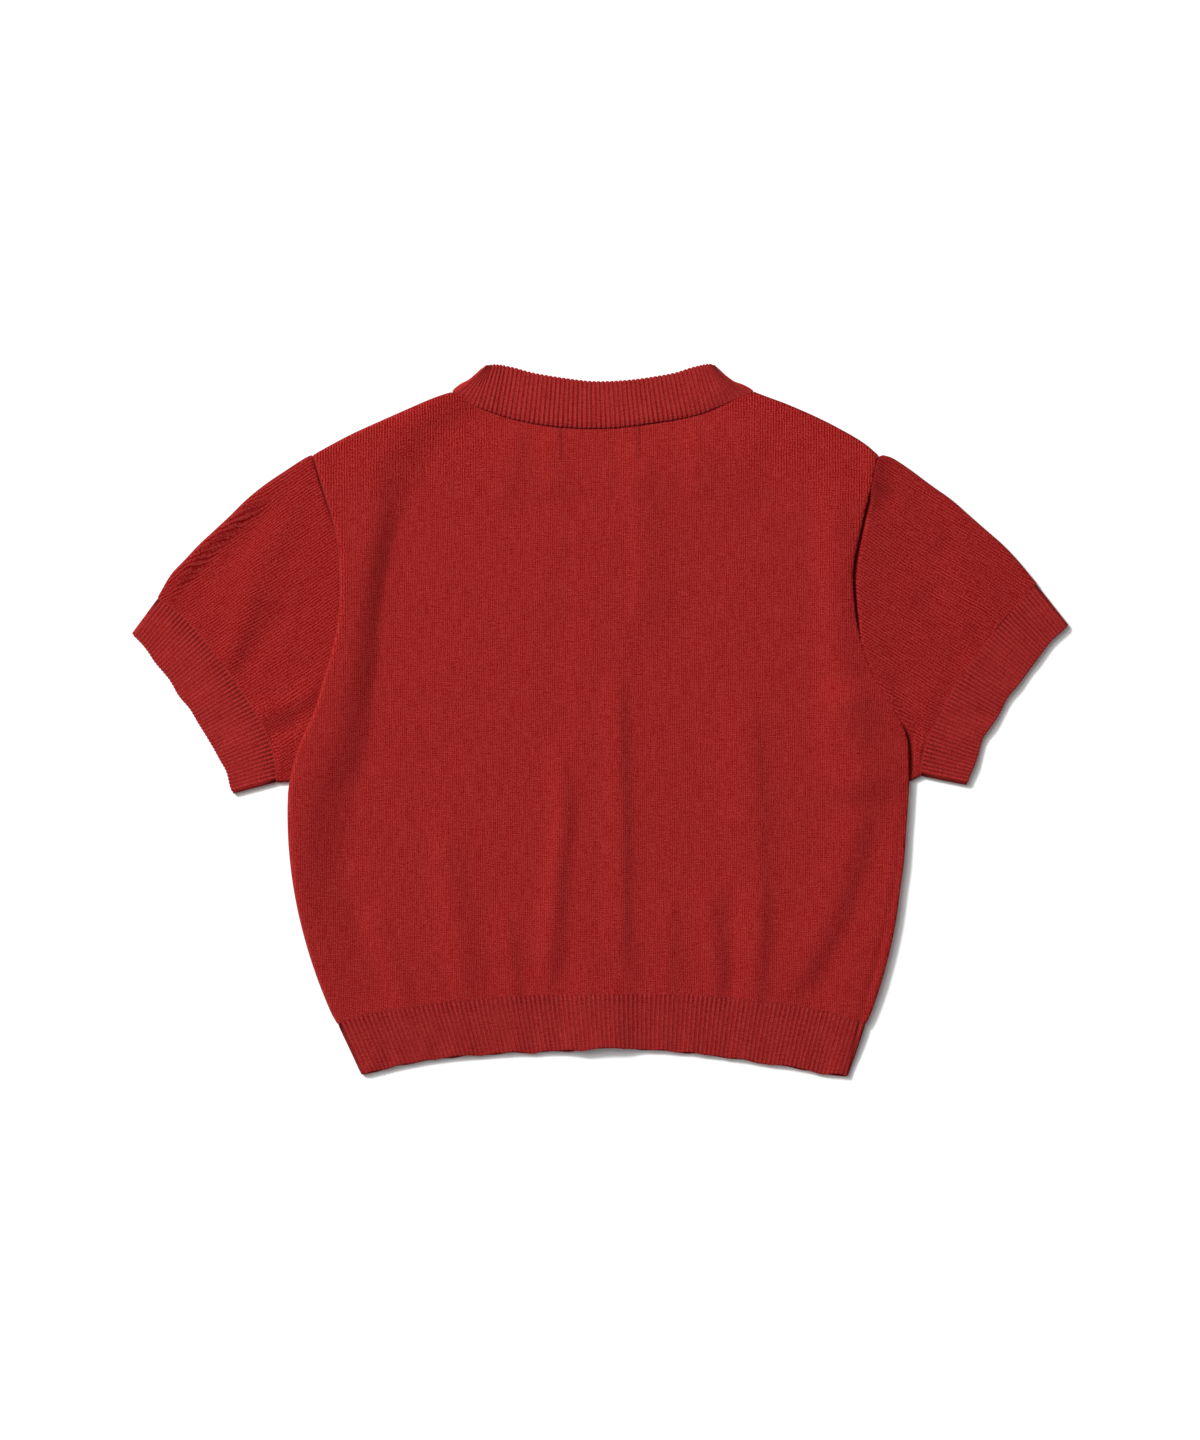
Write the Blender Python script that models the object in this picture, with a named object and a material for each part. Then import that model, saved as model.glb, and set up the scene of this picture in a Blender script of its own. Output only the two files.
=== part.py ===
"""A cropped cardigan with short sleeves, buttoned and laid flat, face down.

The back of the garment faces up (+Z), the neck points to +Y and the front lies on the surface at z = 0.
Left and right are the wearer's, so the left sleeve is at -X. Tables and sizes are in millimetres; the
meshes are written in metres.
"""

from collections import namedtuple

import bpy
import numpy as np

MM = 0.001

# Walls of the knit.
JERSEY = 1.6
RIB = 1.8
BAND = 1.6
RIB_RELIEF = 0.6  # how far a rib stands out of its wall
RIB_STEPS = (0.0, 0.3, 0.7)  # across one rib: its valley and the two edges of its crest
SEAM_GAP = 0.3  # between pieces that are sewn together, and between layers that touch

# Ribs that show on the back of the garment, as crests from side to side.
NECK_RIBS = 64
HEM_RIBS = 113
CUFF_RIBS = 52

# The closed front: two bands on each other, with the buttons under both.
BAND_HALF_WIDTH = 16.0
BUTTON_DIAMETER = 11.5
BUTTON_THICKNESS = 1.8
BUTTON_TOP_Y = 110.0
BUTTON_PITCH = 64.0
BUTTON_COUNT = 6
BUTTON_LIFT = BUTTON_THICKNESS + SEAM_GAP
BUTTON_REST = 7.0  # half the side of the square of band that lies flat on a button

# Heights of the underside of the upper (back) layer.
BODY_HEIGHT = 5.0
SHOULDER_HEIGHT = 3.6
HEM_SEAM_HEIGHT = 4.4
HEM_EDGE_HEIGHT = 3.4
PLACKET_HEIGHT = 5.95
LOWEST_HEIGHT = 2.1
PLACKET_HALF_WIDTH = 9.0  # where the back lies highest, over the bands
PLACKET_SPREAD = 30.0  # how far out that height has died away
LAP_START_X = -60.0  # where the left front starts to climb onto the right one
SIDE_INSET = 0.5  # the front lies this far inside the back's side edges
HEM_INSET = 0.003  # the same on the front's hem rib, as a share of the hem
SIDE_SEAM_LEVELS = (-182.0, -140.0, -98.0, -46.5)
SOFT_EDGE = 40.0  # how far inside an edge the cloth reaches its full height

# Turned edges of the back panel.
ROLL = 2.5
ROLL_ANGLES = (0, 45, 90)
ROLL_RISE = 2.1  # least height of a turned edge over a sleeve
EDGE_ON_SLEEVE = (5.0, 12.0)  # in from the armhole: the edge ends on the sleeve, then on the front
PANEL_ON_SLEEVE = (6.0, 24.0)  # the same for the rise of the panel's underside
CLIMB_START = 13.9  # the edge climbs onto the sleeve from this far below the underarm
CLIMB_END = 6.0
ARMHOLE_TUCK = 3.0  # how far the sleeve reaches in under the back panel's edge
ARMHOLE_STEP = 1.5  # how far past that edge the sleeve stays low
ARMHOLE_SHORT = 2.0  # how far below the shoulder point the tucked row stops
SLEEVE_LOW = 2.2  # underside of the sleeve's upper layer beside the armhole
SLEEVE_TOP = SLEEVE_LOW + JERSEY
SLEEVE_HEIGHT = 3.9
SLEEVE_FOLD_HEIGHT = 2.6
SLEEVE_END_HEIGHT = 3.2
CUFF_HEIGHT = 2.8
FOLD_SHARE = 0.12  # share of the sleeve's width over which it thins towards its folds
RISE_SHARE = 0.3  # share of its length over which it rises from the armhole
FALL_SHARE = 0.25  # and falls to the cuff
UNDERARM_Y = -43.5
SHOULDER_Y = 185.0
HEM_SIDE_Y = -212.0

# One row for each level of the body, from the hem seam to the shoulder points: where its side edges
# are, and how high the underside of the back panel lies beside them.
Level = namedtuple("Level", "y left right left_height right_height")
BODY_LEVELS = (
    Level(-212, -184.1, 186.3, 3.4, 3.4),
    Level(-182, -197.4, 197.4, 3.6, 3.6),
    Level(-140, -210.0, 207.2, 3.6, 3.6),
    Level(-98, -217.0, 212.8, 3.8, 3.8),
    Level(-50, -218.4, 216.0, 4.6, 4.6),
    Level(-12, -207.6, 214.0, 5.4, 5.4),
    Level(25, -193.9, 194.8, 5.4, 5.4),
    Level(67, -183.4, 179.4, 5.4, 5.4),
    Level(112, -182.7, 177.8, 4.6, 5.4),
    Level(154, -191.8, 187.7, 4.3, 5.2),
    Level(185, -200.9, 194.5, 4.3, 4.6),
)

# A band's row holds one rib line: where it leaves its seam and where it ends at the band's free edge.
RibLine = namedtuple("RibLine", "seam_x seam_y edge_x edge_y")
BACK_NECK = (
    RibLine(-104.5, 229.2, -79.1, 247.8),
    RibLine(-69.0, 212.7, -52.6, 244.3),
    RibLine(-33.5, 205.2, -26.1, 239.7),
    RibLine(2.0, 203.8, 0.4, 236.6),
    RibLine(37.5, 207.6, 26.9, 238.5),
    RibLine(73.0, 214.7, 53.4, 242.8),
    RibLine(108.5, 229.0, 79.8, 247.8),
)
BACK_HEM = (
    RibLine(-184.1, -212.0, -166.8, -248.4),
    RibLine(-122.4, -198.3, -110.0, -236.8),
    RibLine(-60.6, -192.0, -53.2, -232.7),
    RibLine(1.1, -190.8, 3.6, -229.6),
    RibLine(62.8, -191.8, 60.4, -233.0),
    RibLine(124.6, -197.4, 117.2, -240.5),
    RibLine(186.3, -212.0, 174.0, -249.1),
)
# From the sleeve's upper fold to the underarm.
CUFFS = {
    "left": (
        RibLine(-309.4, 86.0, -327.6, 60.9),
        RibLine(-279.7, 60.0, -306.7, 34.8),
        RibLine(-255.8, 28.7, -286.8, 7.7),
        RibLine(-234.2, -4.7, -269.5, -21.0),
        RibLine(-225.5, -43.8, -256.2, -51.8),
    ),
    "right": (
        RibLine(305.2, 95.9, 327.6, 66.9),
        RibLine(278.6, 66.2, 305.6, 41.4),
        RibLine(254.6, 34.0, 285.8, 14.2),
        RibLine(233.9, -0.4, 269.0, -15.0),
        RibLine(223.5, -39.5, 256.9, -46.2),
    ),
}

Point = namedtuple("Point", "x y")
# The sleeve's upper fold, from the shoulder point to the cuff seam.
SLEEVE_FOLDS = {
    "left": (Point(-206.5, 183.0), Point(-235.2, 164.5), Point(-269.5, 133.0), Point(-300.3, 101.5)),
    "right": (Point(199.0, 185.2), Point(217.7, 175.0), Point(246.4, 154.0), Point(282.1, 122.5)),
}
# The hidden front neckline, from the side of the neck to the centre front; x counts outwards.
FRONT_NECK = (
    RibLine(96.0, 203.0, 67.0, 219.0),
    RibLine(80.0, 172.0, 53.0, 194.0),
    RibLine(54.0, 144.0, 38.0, 174.0),
    RibLine(BAND_HALF_WIDTH, 128.0, BAND_HALF_WIDTH, 161.0),
)
FRONT_NECK_Y = 128.0
NECK_SETBACK = 4.0  # the back neckband lies as high as the cloth this far below it
NECK_FOLD_WAY = (0.6, 0.8)  # outwards and up, the way the neckband turns over at its sides

# The largest folds: a soft ridge (rise above 0) or trough (below 0) along a line of three points.
Fold = namedtuple("Fold", "x0 y0 x1 y1 x2 y2 half_width rise")
BODY_FOLDS = (
    Fold(-98, 222, -141, 160, -156, 100, 13, -1.5),
    Fold(-155, 104, -167, 20, -194, -97, 14, -2.3),
    Fold(21, 90, 23, -14, 26, -176, 9, -1.2),
    Fold(-23, -50, -24, -120, -28, -186, 8, -1.3),
    Fold(-30, -14, -38, -100, -48, -189, 9, 0.4),
    Fold(-118, -100, -106, -150, -96, -193, 10, 0.4),
    Fold(-162, -130, -150, -168, -135, -202, 10, 0.5),
    Fold(55, -140, 51, -165, 48, -188, 9, -0.9),
    Fold(90, -100, 92, -150, 85, -189, 9, -1.1),
    Fold(123, -100, 120, -150, 112, -189, 9, -1.1),
    Fold(190, -70, 165, -120, 140, -195, 13, -1.5),
    Fold(192, 4, 195, -18, 192, -44, 12, -1.4),
)
SLEEVE_CREASES = {
    "left": (
        Fold(-249, 148, -273, 118, -290, 86, 10, -1.1),
        Fold(-236, 137, -250, 98, -269, 56, 11, 0.6),
        Fold(-240, 64, -247, 49, -254, 36, 9, -1.0),
    ),
    "right": (
        Fold(206, 168, 212, 120, 214, 70, 10, -0.8),
        Fold(252, 104, 262, 84, 275, 58, 11, 0.6),
        Fold(214, 30, 222, 4, 226, -20, 9, -1.0),
    ),
}

FOLD_FADE = 0.3  # share of a fold's length over which each end fades
FOLD_END = 0.25  # what is left of it at the very end, before the fade is smoothed

# The button's section: shares of its radius and heights over its face, which lies down.
ButtonRing = namedtuple("ButtonRing", "radius_share height")
BUTTON_DISH = 0.5
BUTTON_RINGS = (
    ButtonRing(0.62, 0.45),
    ButtonRing(0.74, 0.0),
    ButtonRing(0.88, 0.0),
    ButtonRing(1.0, 0.6),
    ButtonRing(1.0, 1.4),
    ButtonRing(0.9, BUTTON_THICKNESS),
)

TURN_ANGLES = (-45, 0, 45)  # round a fold of a flattened tube
TURN_COLUMNS = len(TURN_ANGLES)

# Rows and columns of the meshes.
BODY_ROWS_BELOW = 10
BODY_ROWS_ABOVE = 14
SHOULDER_COLUMNS = 6
NECK_COLUMNS = 13
FRONT_NECK_COLUMNS = 8
SLEEVE_ROWS = 8
SLEEVE_COLUMNS = 13
PLAIN_COLUMNS = 9
LOWER_COLUMNS = 10
BUTTON_SIDES = 16

KNIT_RED = (0.296, 0.0178, 0.0168, 1.0)
BUTTON_RED = (0.240, 0.014, 0.014, 1.0)


def clear_scene():
    for old in list(bpy.data.objects):
        bpy.data.objects.remove(old)


def material(name, colour, roughness):
    made = bpy.data.materials.new(name)
    made.use_nodes = True
    shader = made.node_tree.nodes["Principled BSDF"]
    shader.inputs["Base Color"].default_value = colour
    shader.inputs["Roughness"].default_value = roughness
    shader.inputs["Metallic"].default_value = 0.0
    return made


def smoothstep(value):
    value = np.clip(value, 0.0, 1.0)
    return value * value * (3.0 - 2.0 * value)


def plateau(distance, inner, outer):
    """1 up to the inner distance, falling softly to 0 at the outer one."""
    return 1.0 - smoothstep((np.abs(distance) - inner) / (outer - inner))


def smoothed(knots, steps=16):
    """Points of a curve that runs smoothly through the knots."""
    tangents = np.gradient(knots, axis=0)
    share = np.linspace(0.0, 1.0, steps, endpoint=False)[:, None]
    spans = []
    for a, b, leaving, arriving in zip(knots, knots[1:], tangents, tangents[1:]):
        from_start = (1 - share) ** 2 * ((1 + 2 * share) * a + share * leaving)
        to_end = share**2 * ((3 - 2 * share) * b + (share - 1) * arriving)
        spans.append(from_start + to_end)
    return np.vstack(spans + [knots[-1:]])


class Line:
    """A line in plan, walked by its share of length: smooth through its points, or straight runs."""

    def __init__(self, points, smooth=True):
        knots = np.array([(point[0], point[1]) for point in points], float)
        self.path = smoothed(knots) if smooth else knots
        steps = np.linalg.norm(np.diff(self.path, axis=0), axis=1)
        self.walked = np.concatenate([[0.0], np.cumsum(steps)])
        self.length = self.walked[-1]
        self.start, self.end = self.path[0], self.path[-1]

    def at(self, share):
        walked = np.asarray(share) * self.length
        return np.stack([np.interp(walked, self.walked, self.path[:, k]) for k in (0, 1)], axis=-1)

    def y_at(self, x):
        return np.interp(x, self.path[:, 0], self.path[:, 1])

    def moved(self, x, y):
        return Line(self.path + np.array((x, y)), smooth=False)

    def joined(self, *others):
        """This line and the ones that carry on from its end, corners kept."""
        return Line(np.vstack([self.path] + [other.path[1:] for other in others]), smooth=False)


def inward(side):
    """The way towards the middle of the garment, along x."""
    return 1.0 if side == "left" else -1.0


EDGES = {side: Line([(getattr(row, side), row.y) for row in BODY_LEVELS]) for side in ("left", "right")}


def side_line(side, y0, y1, inset=0.0):
    """The body's side edge between two levels, moved in towards the middle."""
    levels = np.linspace(y0, y1, 25)
    return Line([(edge_x(side, y) + inward(side) * inset, y) for y in levels])


def edge_x(side, y):
    path = EDGES[side].path
    return np.interp(y, path[:, 1], path[:, 0])


def edge_height(side, y):
    return np.interp(y, [row.y for row in BODY_LEVELS], [getattr(row, side + "_height") for row in BODY_LEVELS])


def seam_line(rows):
    return Line([(row.seam_x, row.seam_y) for row in rows])


def edge_line(rows):
    return Line([(row.edge_x, row.edge_y) for row in rows])


SHOULDER_LEFT = Line([(-200.9, 185.0), (-154.7, 208.6), (-104.5, 229.2)])
SHOULDER_RIGHT = Line([(108.5, 229.0), (149.8, 212.8), (194.5, 185.0)])
NECK_SEAM = seam_line(BACK_NECK)
TOP_LINE = SHOULDER_LEFT.joined(NECK_SEAM, SHOULDER_RIGHT)
HEM_SEAM = seam_line(BACK_HEM)
HEM_EDGE = edge_line(BACK_HEM)


def fold_rise(folds, x, y):
    """How far the folds lift the cloth at plan points x, y; each fold fades out at both its ends."""
    rise = np.zeros_like(x)
    for fold in folds:
        line = Line([(fold.x0, fold.y0), (fold.x1, fold.y1), (fold.x2, fold.y2)])
        gaps = np.hypot(x[..., None] - line.path[:, 0], y[..., None] - line.path[:, 1])
        nearest = gaps.argmin(axis=-1)
        share = nearest / (len(line.path) - 1)
        fade = smoothstep(np.minimum(share, 1.0 - share) / FOLD_FADE + FOLD_END)
        rise += fold.rise * fade * np.exp(-((gaps.min(axis=-1) / fold.half_width) ** 2))
    return rise


def button_levels():
    return [BUTTON_TOP_Y - BUTTON_PITCH * k for k in range(BUTTON_COUNT)]


def button_lift(x, y):
    """How far the buttons hold both bands off the surface."""
    lift = np.zeros_like(x)
    for level in button_levels():
        lift += plateau(x, BUTTON_REST, BAND_HALF_WIDTH) * plateau(y - level, BUTTON_REST, BAND_HALF_WIDTH)
    return BUTTON_LIFT * lift


def front_underside(x, wall):
    """Underside of the front layer: the left front climbs onto the right one at the bands."""
    return (wall + SEAM_GAP) * smoothstep((x - LAP_START_X) / (-BAND_HALF_WIDTH - LAP_START_X))


def on_sleeve(x, y, reach):
    """1 where the back layer lies on a sleeve, beside an armhole, and 0 further in and lower down."""
    beside_left = plateau(np.maximum(x - edge_x("left", y), 0.0), *reach)
    beside_right = plateau(np.maximum(edge_x("right", y) - x, 0.0), *reach)
    climb = smoothstep((y - UNDERARM_Y + CLIMB_START) / (CLIMB_START - CLIMB_END))
    return np.maximum(beside_left, beside_right) * climb


def back_underside(x, y):
    """Underside of the back layer, with its edges low, its middle full and its folds."""
    from_left = smoothstep((x - edge_x("left", y)) / SOFT_EDGE)
    from_right = smoothstep((edge_x("right", y) - x) / SOFT_EDGE)
    height = BODY_HEIGHT + (edge_height("left", y) - BODY_HEIGHT) * (1.0 - from_left)
    height += (edge_height("right", y) - BODY_HEIGHT) * (1.0 - from_right)
    top_y = TOP_LINE.y_at(x)
    height = SHOULDER_HEIGHT + (height - SHOULDER_HEIGHT) * smoothstep((top_y - y) / SOFT_EDGE)
    above_hem = y - HEM_SEAM.y_at(x)
    seam = np.minimum(HEM_SEAM_HEIGHT, height)
    height = seam + (height - seam) * smoothstep(above_hem / SOFT_EDGE)
    height += (HEM_EDGE_HEIGHT - HEM_SEAM_HEIGHT) * smoothstep(-above_hem / SOFT_EDGE)
    height += fold_rise(BODY_FOLDS, x, y) * smoothstep((above_hem + SOFT_EDGE) / SOFT_EDGE)
    height = np.maximum(height, (SLEEVE_TOP + ROLL_RISE - JERSEY / 2) * on_sleeve(x, y, PANEL_ON_SLEEVE))
    below_neck = smoothstep((FRONT_NECK_Y + PLACKET_SPREAD - y) / PLACKET_SPREAD)
    on_placket = plateau(x, PLACKET_HALF_WIDTH, PLACKET_SPREAD) * below_neck
    height = np.maximum(height, height + (PLACKET_HEIGHT - height) * on_placket)
    return np.clip(height, LOWEST_HEIGHT, PLACKET_HEIGHT)


def patch(bottom, top, left, right, across, up):
    """Plan points of a four-sided piece between its edge lines, at shares across and up."""
    u, v = across[None, :, None], up[:, None, None]
    low, high = bottom.at(across)[None, :, :], top.at(across)[None, :, :]
    near, far = left.at(up)[:, None, :], right.at(up)[:, None, :]
    corners = (1 - v) * ((1 - u) * bottom.at(0.0) + u * bottom.at(1.0))
    corners = corners + v * ((1 - u) * top.at(0.0) + u * top.at(1.0))
    return (1 - v) * low + v * high + (1 - u) * near + u * far - corners


def normals(middle, closed):
    if closed:
        across = np.roll(middle, -1, axis=1) - np.roll(middle, 1, axis=1)
    else:
        across = np.gradient(middle, axis=1, edge_order=2)
    along = np.gradient(middle, axis=0)
    found = np.cross(across, along)
    return found / np.linalg.norm(found, axis=2, keepdims=True)


def wall(name, middle, thickness, finish, relief=0.0, closed=False):
    """A cloth wall round its middle surface, a grid of points. Its outer side, which the normals point
    to, carries the relief. A closed grid joins its last column to its first, as a tube."""
    outwards = normals(middle, closed)
    outer = middle + outwards * (thickness / 2 + np.asarray(relief))[..., None]
    inner = middle - outwards * (thickness / 2)
    rows, columns = middle.shape[:2]
    points = np.concatenate([outer.reshape(-1, 3), inner.reshape(-1, 3)]) * MM
    index = np.arange(rows * columns).reshape(rows, columns)
    if closed:
        index = np.hstack([index, index[:, :1]])
    under = index + rows * columns
    faces = []
    for i in range(rows - 1):
        for j in range(index.shape[1] - 1):
            a, b, c, d = index[i, j], index[i, j + 1], index[i + 1, j + 1], index[i + 1, j]
            faces.append((a, b, c, d))
            faces.append((under[i, j], under[i + 1, j], under[i + 1, j + 1], under[i, j + 1]))
    for j in range(index.shape[1] - 1):
        faces.append((index[0, j], under[0, j], under[0, j + 1], index[0, j + 1]))
        faces.append((index[-1, j], index[-1, j + 1], under[-1, j + 1], under[-1, j]))
    if not closed:
        for i in range(rows - 1):
            faces.append((index[i, 0], index[i + 1, 0], under[i + 1, 0], under[i, 0]))
            faces.append((index[i, -1], under[i, -1], under[i + 1, -1], index[i + 1, -1]))
    return add_object(name, points, faces, finish)


def add_object(name, points, faces, finish):
    mesh = bpy.data.meshes.new(name)
    mesh.from_pydata([tuple(p) for p in points], [], [tuple(int(k) for k in face) for face in faces])
    mesh.validate()
    mesh.update()
    mesh.materials.append(finish)
    made = bpy.data.objects.new(name, mesh)
    bpy.context.scene.collection.objects.link(made)
    return made


def lifted(plan, height):
    return np.concatenate([plan, height[..., None]], axis=-1)


def turned_edge(wall_thickness):
    """(distance in from the edge, share of the edge's height) down a turned edge, end first."""
    angles = np.radians(ROLL_ANGLES)
    return wall_thickness / 2 + ROLL * (1 - np.cos(angles)), np.sin(angles)


def edge_end(x, y):
    """Where a turned edge of the back layer ends: on the sleeve beside the armhole, else on the front."""
    front_top = RIB + SEAM_GAP
    return front_top + (SLEEVE_TOP + SEAM_GAP - front_top) * on_sleeve(x, y, EDGE_ON_SLEEVE)


def rolled_columns(width, thickness, inner):
    """Shares across a piece whose two side edges are turned down, and each column's rise."""
    inset, rise = turned_edge(thickness)
    near = inset / width
    shares = np.concatenate([near, near[-1] + (1 - 2 * near[-1]) * inner, 1 - near[::-1]])
    rises = np.concatenate([rise, np.ones(len(inner)), rise[::-1]])
    return shares, rises


def back_columns():
    """Shares across the back panel that put a column at each corner of the neck."""
    neck_start = SHOULDER_LEFT.length / TOP_LINE.length
    neck_end = 1 - SHOULDER_RIGHT.length / TOP_LINE.length
    left = np.linspace(0, neck_start, SHOULDER_COLUMNS + 1)[1:-1]
    neck = np.linspace(neck_start, neck_end, NECK_COLUMNS + 1)
    right = np.linspace(neck_end, 1, SHOULDER_COLUMNS + 1)[1:-1]
    across, rise = rolled_columns(HEM_SEAM.length, JERSEY, np.concatenate([left, neck, right]))
    return across, rise, (across > neck_start) & (across < neck_end)


def back_rows():
    """Shares up the back panel, and each row's rise: its shoulders are turned down."""
    height = SHOULDER_Y - HEM_SIDE_Y
    underarm = UNDERARM_Y - HEM_SIDE_Y
    inset, rise = turned_edge(JERSEY)
    below = np.linspace(0, (underarm - CLIMB_START) / height, BODY_ROWS_BELOW)
    above = np.linspace((underarm - CLIMB_END) / height, 1 - inset[-1] / height, BODY_ROWS_ABOVE + 1)
    up = np.concatenate([below, above, 1 - inset[-2::-1] / height])
    rises = np.concatenate([np.ones(len(below) + len(above)), rise[-2::-1]])
    return up, rises


def back_panel(finish):
    across, rise_across, in_neck = back_columns()
    up, rise_up = back_rows()
    bottom = HEM_SEAM.moved(0, SEAM_GAP / 2)
    plan = patch(bottom, TOP_LINE, EDGES["left"], EDGES["right"], across, up)
    # The neck edge isn't turned down: it meets the neckband's wall.
    plan[-1, in_neck, 1] += JERSEY / 2 - SEAM_GAP
    turned = np.where(in_neck, 0.0, 1.0)[None, :]
    rise = rise_across[None, :] * (1 - (1 - rise_up[:, None]) * turned)
    x, y = plan[..., 0], plan[..., 1]
    level = back_underside(x, y) + JERSEY / 2
    end = np.minimum(edge_end(x, y), level)
    return wall("back_panel", lifted(plan, end + (level - end) * rise), JERSEY, finish)


def rib_columns(ribs):
    """Shares across a rib band and the relief at each: 0 in the valleys, full on the crests."""
    shares = (np.arange(ribs)[:, None] + np.array(RIB_STEPS)) / ribs
    relief = np.tile((0.0, RIB_RELIEF, RIB_RELIEF), ribs)
    return np.append(shares, 1.0), np.append(relief, 0.0)


def back_hem(finish):
    inner, relief = rib_columns(HEM_RIBS)
    across, rise = rolled_columns(HEM_SEAM.length, RIB, inner[1:-1])
    relief = np.concatenate([np.zeros(len(ROLL_ANGLES)), relief[1:-1], np.zeros(len(ROLL_ANGLES))])
    seam = HEM_SEAM.moved(0, -SEAM_GAP / 2).at(across)
    plan = np.stack([HEM_EDGE.at(across), seam])
    x, y = plan[..., 0], plan[..., 1]
    level = back_underside(x, y) + RIB / 2
    end = np.full_like(level, RIB + SEAM_GAP)
    middle = lifted(plan, end + (level - end) * rise[None, :])
    return wall("hem_rib_back", middle, RIB, finish, relief=np.broadcast_to(relief, x.shape))


def armhole_line(side, inset):
    """The armhole seam, from the underarm to just below the shoulder point."""
    return side_line(side, UNDERARM_Y, SLEEVE_FOLDS[side][0].y - ARMHOLE_SHORT, inset=inset)


def sleeve_ring(side):
    return tube_ring(seam_line(CUFFS[side]).length, JERSEY, SLEEVE_FOLD_HEIGHT, np.linspace(0, 1, SLEEVE_COLUMNS))


def front_neck_line(side):
    """The seam of the hidden front neckline, from the side of the neck to the band."""
    corner = NECK_SEAM.start if side == "left" else NECK_SEAM.end
    return Line([corner] + [(-inward(side) * row.seam_x, row.seam_y) for row in FRONT_NECK])


def front_side_line(side, bottom_corner, shoulder_end):
    """Outer edge of a front panel: the side seam, then the armhole in line with the sleeve's columns."""
    inwards, tuck = inward(side), ARMHOLE_TUCK + SEAM_GAP
    below = [(edge_x(side, y) + inwards * SIDE_INSET, y) for y in SIDE_SEAM_LEVELS]
    underarm = (edge_x(side, UNDERARM_Y) + inwards * tuck, UNDERARM_Y - 2 * SEAM_GAP)
    across, layer = sleeve_ring(side)
    armhole = armhole_line(side, tuck).at(across[layer == 0.0][::-1])
    return Line([bottom_corner] + below + [underarm] + list(armhole) + [shoulder_end], smooth=False)


def front_plan(side):
    """Plan of a front panel between the hem seam, its band, the neck and shoulder, and its side."""
    inwards = inward(side)
    band_x = -inwards * (BAND_HALF_WIDTH + SEAM_GAP)
    neck = front_neck_line(side).at(np.linspace(0, 1, FRONT_NECK_COLUMNS + 1))
    neck += np.array((-inwards, -1.0)) * SEAM_GAP / 2
    neck[-1, 0] = band_x
    tuck = ARMHOLE_TUCK + SEAM_GAP
    shoulder_end = (edge_x(side, SHOULDER_Y) + inwards * (tuck + 1.0), SHOULDER_Y - 0.4)
    top = Line([shoulder_end] + list(neck), smooth=False)
    hem = HEM_SEAM.moved(0, SEAM_GAP / 2)
    side_x = edge_x(side, HEM_SIDE_Y) + inwards * SIDE_INSET
    bottom = Line([(x, hem.y_at(x)) for x in np.linspace(side_x, band_x, PLAIN_COLUMNS)], smooth=False)
    outer = front_side_line(side, bottom.start, shoulder_end)
    inner = Line([bottom.end, top.end], smooth=False)
    shoulder_shares = np.linspace(0, top.walked[1] / top.length, SHOULDER_COLUMNS - 1)
    across = np.concatenate([shoulder_shares[:-1], top.walked[1:] / top.length])
    return patch(bottom, top, outer, inner, across, outer.walked / outer.length)


def front_layer(name, side, plan, wall_thickness, finish):
    """A plain wall of the front layer, its underside flat but for the climb onto the other band."""
    x = plan[..., 0]
    underside = front_underside(x, BAND) if side == "left" else np.zeros_like(x)
    middle = lifted(plan, underside + wall_thickness / 2)
    return wall(name, middle if side == "left" else middle[:, ::-1], wall_thickness, finish)


def front_hem_plan(side):
    """Plan of a front's hem rib, from the side seam to the band."""
    band_x = -inward(side) * (BAND_HALF_WIDTH + SEAM_GAP)
    rows = []
    for line in (HEM_EDGE, HEM_SEAM.moved(0, -SEAM_GAP / 2)):
        corner = line.at(HEM_INSET) if side == "left" else line.at(1 - HEM_INSET)
        levels = np.linspace(corner[0], band_x, PLAIN_COLUMNS)
        rows.append(np.stack([levels, line.y_at(levels)], axis=-1))
    return np.stack(rows)


def front_band(name, underside, finish):
    x = np.array((-BAND_HALF_WIDTH, -BUTTON_REST, 0.0, BUTTON_REST, BAND_HALF_WIDTH))
    hem = HEM_EDGE.y_at(x)
    levels = [FRONT_NECK_Y - SEAM_GAP / 2]
    for level in button_levels():
        levels += [level + BAND_HALF_WIDTH, level + BUTTON_REST, level - BUTTON_REST, level - BAND_HALF_WIDTH]
    levels = np.array([y for y in levels if hem.max() + RIB < y < FRONT_NECK_Y][::-1])
    y = np.vstack([hem, np.repeat(levels[:, None], len(x), axis=1)])
    x = np.broadcast_to(x, y.shape)
    middle = lifted(np.stack([x, y], axis=-1), underside + button_lift(x, y) + BAND / 2)
    return wall(name, middle, BAND, finish)


def button(number, level, finish):
    """A turned disc with a raised rim round a shallow dish; its face lies on the surface."""
    turns = np.linspace(0, 2 * np.pi, BUTTON_SIDES, endpoint=False)
    radius = BUTTON_DIAMETER / 2
    points, faces = [(0.0, level, BUTTON_DISH)], []
    for ring in BUTTON_RINGS:
        distance = radius * ring.radius_share
        points += [(distance * np.cos(t), level + distance * np.sin(t), ring.height) for t in turns]
    points.append((0.0, level, BUTTON_THICKNESS))
    last = 1 + (len(BUTTON_RINGS) - 1) * BUTTON_SIDES
    for k in range(BUTTON_SIDES):
        nxt = (k + 1) % BUTTON_SIDES
        faces.append((0, 1 + nxt, 1 + k))
        for low in range(1, last, BUTTON_SIDES):
            high = low + BUTTON_SIDES
            faces.append((low + k, low + nxt, high + nxt, high + k))
        faces.append((last + k, last + nxt, len(points) - 1))
    return add_object(f"button_{number}", np.array(points) * MM, faces, finish)


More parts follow.
